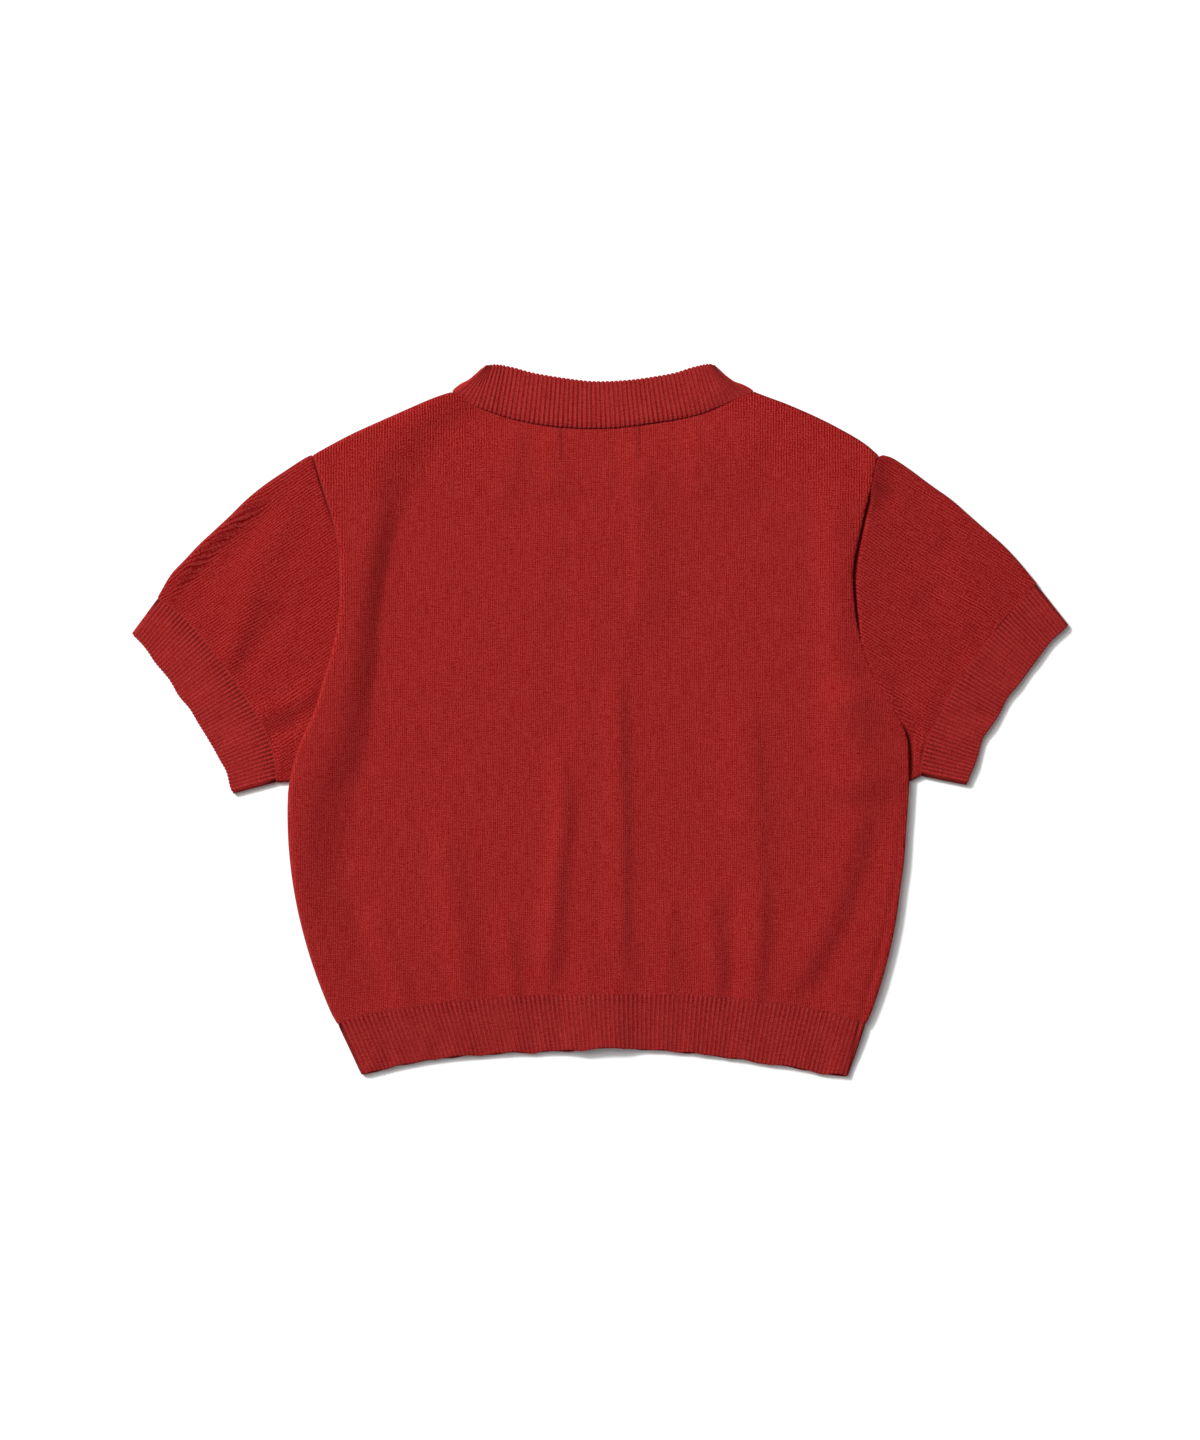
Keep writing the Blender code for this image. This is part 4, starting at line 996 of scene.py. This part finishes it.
def sleeve_rise(side, x, y, beyond, across, out):
    """How high a sleeve's upper layer lies: up out of the armhole, over its folds and down to the cuff."""
    high_up = smoothstep((y - 112.0) / 45.0)
    flush = np.maximum(plateau(y - 28.0, 24.0, 42.0), smoothstep((y - 152.0) / 14.0))
    if side == "left":
        foot, reach = 0.1 - 2.5 * (1.0 - high_up), 1.5 + 0.9 * (1.0 - high_up)
    else:
        foot, reach = 0.5 - 2.8 * flush + 2.5 * plateau(y + 24.0, 10.0, 20.0), 3.0 - 0.6 * flush
    climbed = smoothstep((beyond - foot) / reach)
    rise = SLEEVE_LOW + (SLEEVE_HEIGHT - SLEEVE_LOW) * climbed
    rise = rise + (SLEEVE_END_HEIGHT - rise) * smoothstep((out - 0.75) / 0.25)
    beside_body = groove(beyond, 18.0) * climbed
    if side == "left":
        rise = rise + 0.3 * beside_body * plateau(y - 22.0, 18.0, 44.0)
    else:
        edge_y = np.clip(y, UNDERARM_Y, SHOULDER_Y)
        level = back_underside(edge_x(side, edge_y) - 1.5, edge_y) - 0.4 - SLEEVE_HEIGHT
        apart = 1.7 * (1.0 - flush) * plateau(y - 110.0, 40.0, 70.0)
        rise = rise + (np.clip(level, 0.0, 2.4) * flush + apart) * beside_body
    rise = rise + fold_rise(SLEEVE_FOLDS[side], x, y) * smoothstep((beyond - foot) / 10.0)
    rise = rise + 0.10 * waver(x, y, 33.0, 0.5) * smoothstep((beyond - foot) / 14.0)
    near_fold = smoothstep(across / 0.12)[None, :]
    low = np.minimum(SLEEVE_FOLD_HEIGHT, rise)
    return np.maximum(low + (rise - low) * near_fold, SLEEVE_LOW)


def armhole_shadow(side, x, y, beyond):
    """How much shade is painted on a sleeve: in spots beside the body on the left, along an open slit on the
    right, and a little over all its upper layer.
    """
    outside = np.maximum(beyond, 0.0)
    if side == "left":
        spots = smoothstep((y - 144.0) / 16.0) * (0.35 + 0.65 * (0.5 + 0.5 * np.sin(1.9 * y)))
        strength = 0.62 * spots + 0.16 * plateau(y - 128.0, 16.0, 30.0)
        return np.maximum(groove(outside, 0.5) * strength, SLEEVE_SHADE)
    band, line = plateau(y - 140.0, 12.0, 24.0), plateau(y - 93.0, 26.0, 40.0)
    at_foot, at_top = plateau(y + 22.0, 12.0, 22.0), smoothstep((y - 150.0) / 16.0)
    crevice = groove(outside, 0.8 + 2.2 * band + 1.8 * at_foot)
    strength = 0.12 * at_top + 0.24 * band + 0.4 * line + 0.75 * at_foot
    # Painted shade: a dark spot and a soft darkening on the sleeve beside the body's edge near the shoulder.
    shade_spot = groove(x - 197.0, 8.0) * groove(y - 161.0, 5.5)
    deep = 0.40 * groove(outside, 13.0) * plateau(y - 168.0, 16.0, 38.0) + 0.22 * shade_spot
    return np.maximum(crevice * strength, np.maximum(deep, SLEEVE_SHADE))


def make_sleeve(side, finish):
    start, seam, under, fold = sleeve_lines(side)
    upper = np.linspace(0, 1, 64)
    across, layer, _ = tube_ring(seam.length, JERSEY, SLEEVE_FOLD_HEIGHT, upper, np.linspace(0, 1, 44))
    near = np.array((0.0, 0.006, 0.013, 0.021, 0.030, 0.040, 0.052, 0.066))
    out = np.concatenate([near, np.linspace(0.084, 1.0, 50)])
    plan = patch(start, seam, under, fold, across, out)
    tucked = side_line(side, UNDERARM_Y, fold.start[1] - 2.0, inset=ARMHOLE_TUCK).at(across)
    plan = np.concatenate([tucked[None], plan])
    out = np.concatenate([[0.0], out])[:, None]
    x, y = plan[..., 0], plan[..., 1]
    beyond = inward(side) * (edge_x(side, np.clip(y, UNDERARM_Y, SHOULDER_Y)) - x)
    rise = sleeve_rise(side, x, y, beyond, across, out)
    middle = lifted(plan, JERSEY / 2 + rise * layer[None, :])
    # Painted shade beside the body and round the folded edge at the underarm.
    painted_shade = armhole_shadow(side, x, y, beyond) * layer[None, :]
    painted_shade = np.maximum(painted_shade, 2.3 * (layer * (1.0 - layer))[None, :])
    edge = Line(CUFF_SEAM_POINTS[side])
    way = (edge.end - edge.start) / np.linalg.norm(edge.end - edge.start)
    out_way = np.array((way[1], -way[0]))
    round_fold = 1.6 * (2.0 * across - 1.0) * middle[..., 2]
    knit_map = np.stack([plan @ way + round_fold, plan @ out_way], axis=-1)
    half, wrap, purl = JERSEY / 2, (0.0, 0.0), SLEEVE_PURL[side]
    return wall(f"sleeve_{side}_knit", middle, half, half, knit_map, painted_shade, finish, wrap, purl, side)


def make_cuff(side, finish):
    seam = Line(CUFF_SEAM_POINTS[side][::-1])
    edge = Line(CUFF_EDGE_POINTS[side][::-1])
    ribs, phase = rib_shares(CUFF_RIBS)
    across, layer, turn = tube_ring(edge.length, RIB, CUFF_HEIGHT, ribs, ribs[1:-1])
    pad = np.zeros(turn)
    phase = np.concatenate([pad, phase, pad + CUFF_RIBS, CUFF_RIBS + phase[1:-1]])
    up = rim_steps(CUFF_LENGTH, 2.2, (False, True))
    close = np.array((0.0, 0.35, 0.8, 1.4, 2.2, 3.2)) / CUFF_LENGTH
    up = np.concatenate([close, up[up > 4.0 / CUFF_LENGTH]])
    plan = strip(seam, edge, across, up)
    round_edge = across[None, :] * edge.length
    swell, wave_phase = (0.4, 1.1) if side == "left" else (0.8, 2.7)
    wave = swell * waver(round_edge, 0.0 * round_edge, 29.0, wave_phase)
    teeth = 0.5 * (rib_profile(phase) - 0.6)[None, :] * layer[None, :]
    outwards = np.array((-inward(side) * 0.85, -0.52))
    plan += outwards * (wave * up[:, None] ** 3 + teeth * up[:, None] ** 22)[..., None]
    along = CUFF_LENGTH * up[:, None]
    near_fold = smoothstep(np.minimum(across, 1 - across) / 0.10)[None, :]
    height = CUFF_HEIGHT + (SLEEVE_END_HEIGHT - CUFF_HEIGHT) * (1.0 - smoothstep(along / 9.0)) * near_fold
    height = height + 0.5 * waver(round_edge, along, 30.0, 0.3) * up[:, None] * near_fold
    middle = lifted(plan, RIB / 2 + height * layer[None, :])
    crest = rib_profile(phase)[None, :]
    if side == "left":
        strength = rib_strength(phase[None, :], along) * (1.1 - 0.5 * smoothstep((along - 6.0) / 9.0))
    else:
        strength = rib_strength(phase[None, :], along + 6.0) * 1.1
    thick = rounded(up, CUFF_LENGTH, (False, True))[:, None]
    over = rib_over(crest, strength * 0.9, along) * layer[None, :]
    over = over + (RIB / 2 - RIB_HOLLOW * (1 - crest)) * (1 - layer)[None, :]
    # Painted shade between the ribs.
    painted_shade = rib_shadow(crest, strength, along, CUFF_SHADE[side])
    knit_map = rib_map(phase, along)
    over, under = over * thick, RIB / 2 * thick
    wrap = (CUFF_RIBS * 4 * WALE * inward(side), 0.0)
    return wall(f"cuff_{side}_knit", middle, over, under, knit_map, painted_shade, finish, wrap, side=side)


# --- Buttons and thread ------------------------------------------------------------------------------


def deselect():
    for shown in bpy.context.selected_objects:
        shown.select_set(False)


def choose(made):
    deselect()
    made.select_set(True)
    bpy.context.view_layer.objects.active = made


def place_in_mesh(made):
    """Writes an object's place, turn and size into its mesh."""
    choose(made)
    bpy.ops.object.transform_apply(location=True, rotation=True, scale=True)


def edit_faces(made, wanted):
    """Opens the mesh for editing with the faces selected for which wanted(face) is true."""
    bpy.ops.object.mode_set(mode="EDIT")
    bpy.ops.mesh.select_mode(type="FACE")
    bpy.ops.mesh.select_all(action="DESELECT")
    mesh = bmesh.from_edit_mesh(made.data)
    for face in mesh.faces:
        face.select = wanted(face)
    mesh.select_flush_mode()
    bmesh.update_edit_mesh(made.data)


def apply_modifier(made, kind, **settings):
    modifier = made.modifiers.new(kind.lower(), kind)
    for key, value in settings.items():
        setattr(modifier, key, value)
    choose(made)
    bpy.ops.object.modifier_apply(modifier=modifier.name)


def make_button(finish):
    """A turned four-hole button, face down at the origin: a rounded rim round a shallow dish."""
    deselect()
    radius, thick = BUTTON_DIAMETER / 2 * MM, BUTTON_THICKNESS * MM
    bpy.ops.mesh.primitive_cylinder_add(vertices=48, radius=radius, depth=thick, location=(0, 0, thick / 2))
    made = bpy.context.active_object
    place_in_mesh(made)
    edit_faces(made, lambda face: face.normal.z < -0.9)
    bpy.ops.mesh.inset(thickness=0.9 * MM)
    bpy.ops.mesh.inset(thickness=0.7 * MM)
    bpy.ops.transform.translate(value=(0, 0, DISH_DEPTH * MM))
    bpy.ops.mesh.inset(thickness=0.5 * MM)
    bpy.ops.object.mode_set(mode="OBJECT")
    sharp = math.radians(35)
    apply_modifier(made, "BEVEL", width=0.28 * MM, segments=3, limit_method="ANGLE", angle_limit=sharp)
    cut_button_holes(made)
    made.data.materials.clear()
    made.data.materials.append(finish)
    choose(made)
    bpy.ops.object.shade_smooth_by_angle(angle=math.radians(32))
    return made


def cut_button_holes(made):
    """Four holes through the dish."""
    for across, up in ((-1, -1), (-1, 1), (1, -1), (1, 1)):
        deselect()
        bpy.ops.mesh.primitive_cylinder_add(
            vertices=20, radius=HOLE_RADIUS * MM, depth=5 * MM,
            location=(across * HOLE_PLACE * MM, up * HOLE_PLACE * MM, 0),
        )
        punch = bpy.context.active_object
        apply_modifier(made, "BOOLEAN", object=punch, operation="DIFFERENCE", solver="EXACT")
        bpy.data.objects.remove(punch)


def covered(made, finish):
    """The object, all in one finish and smooth all round."""
    made.data.materials.clear()
    made.data.materials.append(finish)
    for face in made.data.polygons:
        face.use_smooth = True
    return made


def make_thread_loop(name, start, end, radius, finish):
    """A stitch of thread: a thin bent bar from one point to the other, its ends sunk."""
    deselect()
    start, end = np.array(start), np.array(end)
    span = end - start
    length = float(np.linalg.norm(span))
    bpy.ops.mesh.primitive_cylinder_add(vertices=8, radius=radius, depth=length, rotation=(0, math.pi / 2, 0))
    made = bpy.context.active_object
    place_in_mesh(made)
    edit_faces(made, lambda face: abs(face.normal.x) > 0.9)
    bpy.ops.mesh.inset(thickness=radius * 0.45)
    bpy.ops.object.mode_set(mode="OBJECT")
    apply_modifier(made, "BEVEL", width=radius * 0.4, segments=2, limit_method="ANGLE")
    turn = math.atan2(span[1], span[0])
    made.rotation_euler = (0, 0, turn)
    made.location = tuple((start + end) / 2)
    place_in_mesh(made)
    made.name = name
    return covered(made, finish)


def joined(pieces, name):
    deselect()
    for piece in pieces:
        piece.select_set(True)
    bpy.context.view_layer.objects.active = pieces[0]
    bpy.ops.object.join()
    made = bpy.context.active_object
    made.name = name
    return made


def copy_to(made, name, x, y):
    twin = bpy.data.objects.new(name, made.data.copy())
    bpy.context.scene.collection.objects.link(twin)
    twin.location = (x * MM, y * MM, 0)
    place_in_mesh(twin)
    return twin


def make_buttons(plastic, thread):
    """The six buttons with their thread, and the bound buttonhole that each one has gone through."""
    pattern = make_button(plastic)
    z = (BUTTON_THICKNESS - 0.9) * MM - 0.35 * MM
    reach, radius = HOLE_PLACE * MM, CROSS_THREAD_RADIUS * MM
    stitches = [
        make_thread_loop("cross", (-reach, -up * reach, z), (reach, up * reach, z), radius, thread)
        for up in (1, -1)
    ]
    cross = joined(stitches, "cross_stitch")
    binding = make_buttonhole(thread)
    made = []
    for number, level in enumerate(button_levels(), 1):
        button = copy_to(pattern, f"button_{number}_turned", 0, level)
        sewn = copy_to(cross, f"button_{number}_thread", 0, level)
        bound = copy_to(binding, f"buttonhole_{number}_binding", 0, level)
        made.append((number, button, sewn, bound))
    for spare in (pattern, cross, binding):
        bpy.data.objects.remove(spare)
    return made


def make_buttonhole(finish):
    """The bound edge of a buttonhole: a long thin ring of close stitches on the band's right side."""
    deselect()
    bpy.ops.mesh.primitive_torus_add(
        major_radius=BUTTONHOLE_REACH * MM, minor_radius=BINDING_RADIUS * MM,
        major_segments=64, minor_segments=8,
        location=(0, 0, (BUTTON_LIFT - 0.02) * MM),
    )
    made = bpy.context.active_object
    made.scale = (1.0, 0.22, 0.6)
    place_in_mesh(made)
    return covered(made, finish)


def stitch_height(x, y):
    """Where the right side of the back panel lies under a stitch row, in the groove that it pulls."""
    place = np.array([[x]]), np.array([[y]])
    neck_gap = TOP_LINE.y_at(place[0]) - place[1]
    return float((back_underside(*place) - neck_dip(neck_gap) - stitch_dip(*place))[0, 0]) + JERSEY + 0.1


def make_neck_stitches(finish):
    """Two short rows of plain stitches just below the back neck seam."""
    pieces = []
    for x in STITCH_ROWS_X:
        top = NECK_SEAM.y_at(x) - 1.6
        for k in range(STITCH_COUNT):
            y = top - STITCH_PITCH * k
            z = stitch_height(x, y - 1.0)
            lean = 0.15 * math.sin(5.0 * k + x)
            start = ((x + lean) * MM, y * MM, z * MM)
            end = ((x - lean) * MM, (y - STITCH_LENGTH) * MM, z * MM)
            pieces.append(make_thread_loop("stitch", start, end, ROW_THREAD_RADIUS * MM, finish))
    return joined(pieces, "neck_stitch_rows")


# --- Materials ---------------------------------------------------------------------------------------


class Value:
    """A number in a shader. Arithmetic on it adds Math nodes."""

    def __init__(self, paint, socket):
        self.paint, self.socket = paint, socket

    def made(self, operation, *others):
        inputs = {k: other for k, other in enumerate((self,) + others)}
        return self.paint.node("Math", {"operation": operation}, inputs)

    def __add__(self, other):
        return self.made("ADD", other)

    def __mul__(self, other):
        return self.made("MULTIPLY", other)

    def __sub__(self, other):
        return self.made("SUBTRACT", other)

    def __truediv__(self, other):
        return self.made("DIVIDE", other)

    def __rsub__(self, other):
        return self.paint.node("Math", {"operation": "SUBTRACT"}, {0: other, 1: self})

    def __abs__(self):
        return self.made("ABSOLUTE")

    __radd__ = __add__
    __rmul__ = __mul__


class Paint:
    """One material's nodes."""

    def __init__(self, name, colour, roughness):
        self.material = bpy.data.materials.new(name)
        self.material.use_nodes = True
        self.tree = self.material.node_tree
        self.shader = self.tree.nodes["Principled BSDF"]
        self.shader.inputs["Base Color"].default_value = (*colour, 1.0)
        self.shader.inputs["Roughness"].default_value = roughness

    def node(self, kind, settings=None, inputs=None, output=0):
        """Adds a node: its settings first, then a value or a link for each named socket."""
        made = self.tree.nodes.new("ShaderNode" + kind)
        for key, value in (settings or {}).items():
            setattr(made, key, value)
        for key, value in (inputs or {}).items():
            if isinstance(value, Value):
                self.tree.links.new(value.socket, made.inputs[key])
            else:
                made.inputs[key].default_value = value
        return Value(self, made.outputs[output])

    def feed(self, socket, value):
        self.tree.links.new(value.socket, self.shader.inputs[socket])

    def set(self, socket, value):
        self.shader.inputs[socket].default_value = value

    def mixed(self, factor, first, second):
        """A colour between two colours."""
        sockets = {0: factor, 6: first, 7: second}
        sockets = {k: (*v, 1.0) if isinstance(v, tuple) else v for k, v in sockets.items()}
        return self.node("Mix", {"data_type": "RGBA"}, sockets, output=2)


def knit_finish(name, ribbed):
    """Fine knit: V stitches in rows, uneven yarn, a faint nap, and shade painted down in the seams, between
    ribs and on turned edges.
    """
    paint = Paint(name, KNIT_RED, 0.9)
    place = paint.node("UVMap", {"uv_map": "knit"})
    drift = noise(paint, place, (12.0, 9.0), 1.0, 0.5) - 0.5
    across = paint.node("SeparateXYZ", None, {0: place}, output=0) + drift * (0.0 if ribbed else 0.8)
    along = paint.node("SeparateXYZ", None, {0: place}, output=1) + drift * 2.6
    painted_shade = paint.node("Attribute", {"attribute_name": "painted_shade"}, output=2)
    purl = paint.node("Attribute", {"attribute_name": "purl"}, output=2)

    wales = across / WALE + (0.5 if ribbed else 0.0)
    from_middle = abs(wales.made("FRACT") - 0.5) * 2.0
    leg = (from_middle * math.pi).made("SINE")
    twist = ((along / COURSE + from_middle * 0.42) * (2.0 * math.pi)).made("SINE")
    wale = 1.0 - from_middle * from_middle * from_middle
    stitch = wale * (0.45 + leg * 0.35) * (0.8 + twist * 0.2)
    bumps = (across / (1.25 * WALE) * (2.0 * math.pi)).made("SINE") * 0.5 + 0.5
    stitch = stitch + (bumps - stitch) * purl * 0.4

    grain = noise(paint, place, (0.95, 0.95), 1.0, 0.6) - 0.5
    streak = noise(paint, place, (0.9, 14.0), 1.0, 0.5) - 0.5
    row = noise(paint, place, (8.0, 0.8), 1.0, 0.5) - 0.5
    where = noise(paint, place, (13.0, 15.0), 1.0, 0.5)
    tone = (0.63 if ribbed else 0.5) + grain * 1.6 + (stitch - 0.42) * 1.1
    tone = tone + streak * (0.5 + where) * 0.6 + row * (1.2 - where) * 0.8
    tone = tone + ((bumps - 0.5) * 0.75 + grain * 1.7 - 0.12) * purl
    colour = paint.mixed(tone, KNIT_DARK, KNIT_LIGHT)
    # Painted shade: the colour darkens towards the shade red wherever the piece's painted shade is high.
    colour = paint.mixed(painted_shade, colour, PAINTED_SHADE_RED)
    paint.feed("Base Color", colour)

    fuzz = noise(paint, place, (0.55, 0.55), 2.0, 0.7)
    height = stitch * 1.3 + fuzz * 0.4 + grain * 0.8 + (streak + row) * 0.5
    bump = paint.node("Bump", None, {"Height": height, "Strength": 0.9, "Distance": 0.0003})
    paint.feed("Normal", bump)
    paint.feed("Roughness", 0.82 + fuzz * 0.16)
    paint.set("Sheen Weight", 0.06)
    paint.set("Sheen Roughness", 0.5)
    paint.set("Sheen Tint", (1.0, 0.30, 0.26, 1.0))
    paint.set("Specular IOR Level", 0.045)
    return paint.material


def noise(paint, place, spots, detail, roughness):
    """Smooth noise; spots says how large its spots are across and along the knit, in millimetres."""
    scale = (1.0 / spots[0], 1.0 / spots[1], 1.0)
    scaled = paint.node("Mapping", {"vector_type": "POINT"}, {"Vector": place, "Scale": scale})
    inputs = {"Vector": scaled, "Scale": 1.0, "Detail": detail, "Roughness": roughness}
    return paint.node("TexNoise", {"noise_dimensions": "2D"}, inputs)


def plastic_finish():
    """Dyed plastic: soft gloss, with faint clouding and fine scratches."""
    paint = Paint("button_plastic_dyed", BUTTON_RED, 0.32)
    place = paint.node("TexCoord", output=3)
    cloud = paint.node("TexNoise", None, {"Vector": place, "Scale": 260.0, "Detail": 3.0})
    colour = paint.mixed(cloud, tuple(c * 0.82 for c in BUTTON_RED), tuple(c * 1.18 for c in BUTTON_RED))
    paint.feed("Base Color", colour)
    scuff = paint.node("TexNoise", None, {"Vector": place, "Scale": 2200.0, "Detail": 2.0})
    paint.feed("Roughness", 0.26 + scuff * 0.16)
    bump = paint.node("Bump", None, {"Height": scuff, "Strength": 0.15, "Distance": 0.00004})
    paint.feed("Normal", bump)
    paint.set("Coat Weight", 0.25)
    return paint.material


def thread_finish():
    """Sewing thread: fine twisted strands."""
    paint = Paint("sewing_thread_red", THREAD_RED, 0.7)
    place = paint.node("TexCoord", output=3)
    strand = paint.node(
        "TexWave", {"bands_direction": "DIAGONAL"}, {"Vector": place, "Scale": 900.0, "Distortion": 1.0},
        output=1,
    )
    colour = paint.mixed(strand, tuple(c * 0.6 for c in THREAD_RED), tuple(c * 1.25 for c in THREAD_RED))
    paint.feed("Base Color", colour)
    bump = paint.node("Bump", None, {"Height": strand, "Strength": 0.5, "Distance": 0.00006})
    paint.feed("Normal", bump)
    paint.set("Specular IOR Level", 0.1)
    return paint.material


def floor_finish():
    paint = Paint("pale_floor", FLOOR_WHITE, 0.95)
    place = paint.node("TexCoord", output=3)
    speck = paint.node("TexNoise", None, {"Vector": place, "Scale": 90.0, "Detail": 2.0})
    colour = paint.mixed(speck, tuple(c * 0.995 for c in FLOOR_WHITE), FLOOR_WHITE)
    paint.feed("Base Color", colour)
    paint.set("Specular IOR Level", 0.1)
    return paint.material


# --- Floor, light and camera -------------------------------------------------------------------------


def make_floor():
    deselect()
    bpy.ops.mesh.primitive_plane_add(size=8.0, location=(0, 0, -0.0002))
    floor = bpy.context.active_object
    floor.name = "floor"
    place_in_mesh(floor)
    floor.data.materials.append(floor_finish())


def add_softbox(name, place, size, energy):
    light = bpy.data.lights.new(name, "AREA")
    light.shape = "SQUARE"
    light.size = size
    light.energy = energy
    softbox = bpy.data.objects.new(name, light)
    bpy.context.scene.collection.objects.link(softbox)
    softbox.location = place
    softbox.rotation_euler = (-softbox.location).to_track_quat("-Z", "Y").to_euler()


def make_light():
    """A softbox far off on the upper left, a wide one above it for the fill, and a dim white surround."""
    add_softbox("softbox", (-4.5, 4.2, 5.1), 1.1, 565.0)
    add_softbox("wide_fill", (-3.4, 3.2, 5.2), 5.0, 290.0)
    world = bpy.data.worlds.new("surround")
    world.use_nodes = True
    world.node_tree.nodes["Background"].inputs["Color"].default_value = (1.0, 1.0, 1.0, 1.0)
    world.node_tree.nodes["Background"].inputs["Strength"].default_value = 0.26
    bpy.context.scene.world = world


def make_camera():
    """Straight above the garment, framed as in the photograph."""
    camera = bpy.data.cameras.new("camera")
    camera.sensor_width = 36.0
    camera.lens = camera.sensor_width * CAMERA_HEIGHT / PHOTO_HEIGHT
    camera.clip_end = 50.0
    placed = bpy.data.objects.new("camera", camera)
    placed.location = (0, 0, CAMERA_HEIGHT)
    bpy.context.scene.collection.objects.link(placed)
    bpy.context.scene.camera = placed
    bpy.context.scene.view_settings.view_transform = "Standard"
    bpy.context.scene.view_settings.look = "None"


# --- Putting it together -----------------------------------------------------------------------------


def lay(piece, node):
    """Hangs the piece on the root, and hides the solid that it stands for."""
    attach(piece, "root")
    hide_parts(node)


def main():
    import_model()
    jersey, rib = knit_finish("plain_knit_red", ribbed=False), knit_finish("rib_knit_red", ribbed=True)
    plastic, thread = plastic_finish(), thread_finish()

    back = make_back_panel(jersey)
    lay(back, "back_panel")
    hem = make_hem_back(rib)
    lay(hem, "hem_rib_back")
    neck = make_neckband(rib)
    lay(neck, "neckband")
    for side in ("left", "right"):
        front = make_front_panel(side, jersey)
        lay(front, f"front_{side}")
        front_hem = make_front_hem(side, rib)
        lay(front_hem, f"hem_rib_front_{side}")
        sleeve = make_sleeve(side, jersey)
        lay(sleeve, f"sleeve_{side}")
        cuff = make_cuff(side, rib)
        lay(cuff, f"cuff_{side}")
    under_band = make_band("buttonhole_band_knit", 0.0, rib)
    lay(under_band, "buttonhole_band")
    upper_band = make_band("button_band_knit", BAND + SEAM_GAP, rib)
    lay(upper_band, "button_band")
    for number, button, sewn, bound in make_buttons(plastic, thread):
        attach(button, "root")
        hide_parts(f"button_{number}")
        for piece in (sewn, bound):
            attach(piece, "root")
    stitches = make_neck_stitches(thread)
    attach(stitches, "root")

    make_floor()
    make_light()
    make_camera()


main()
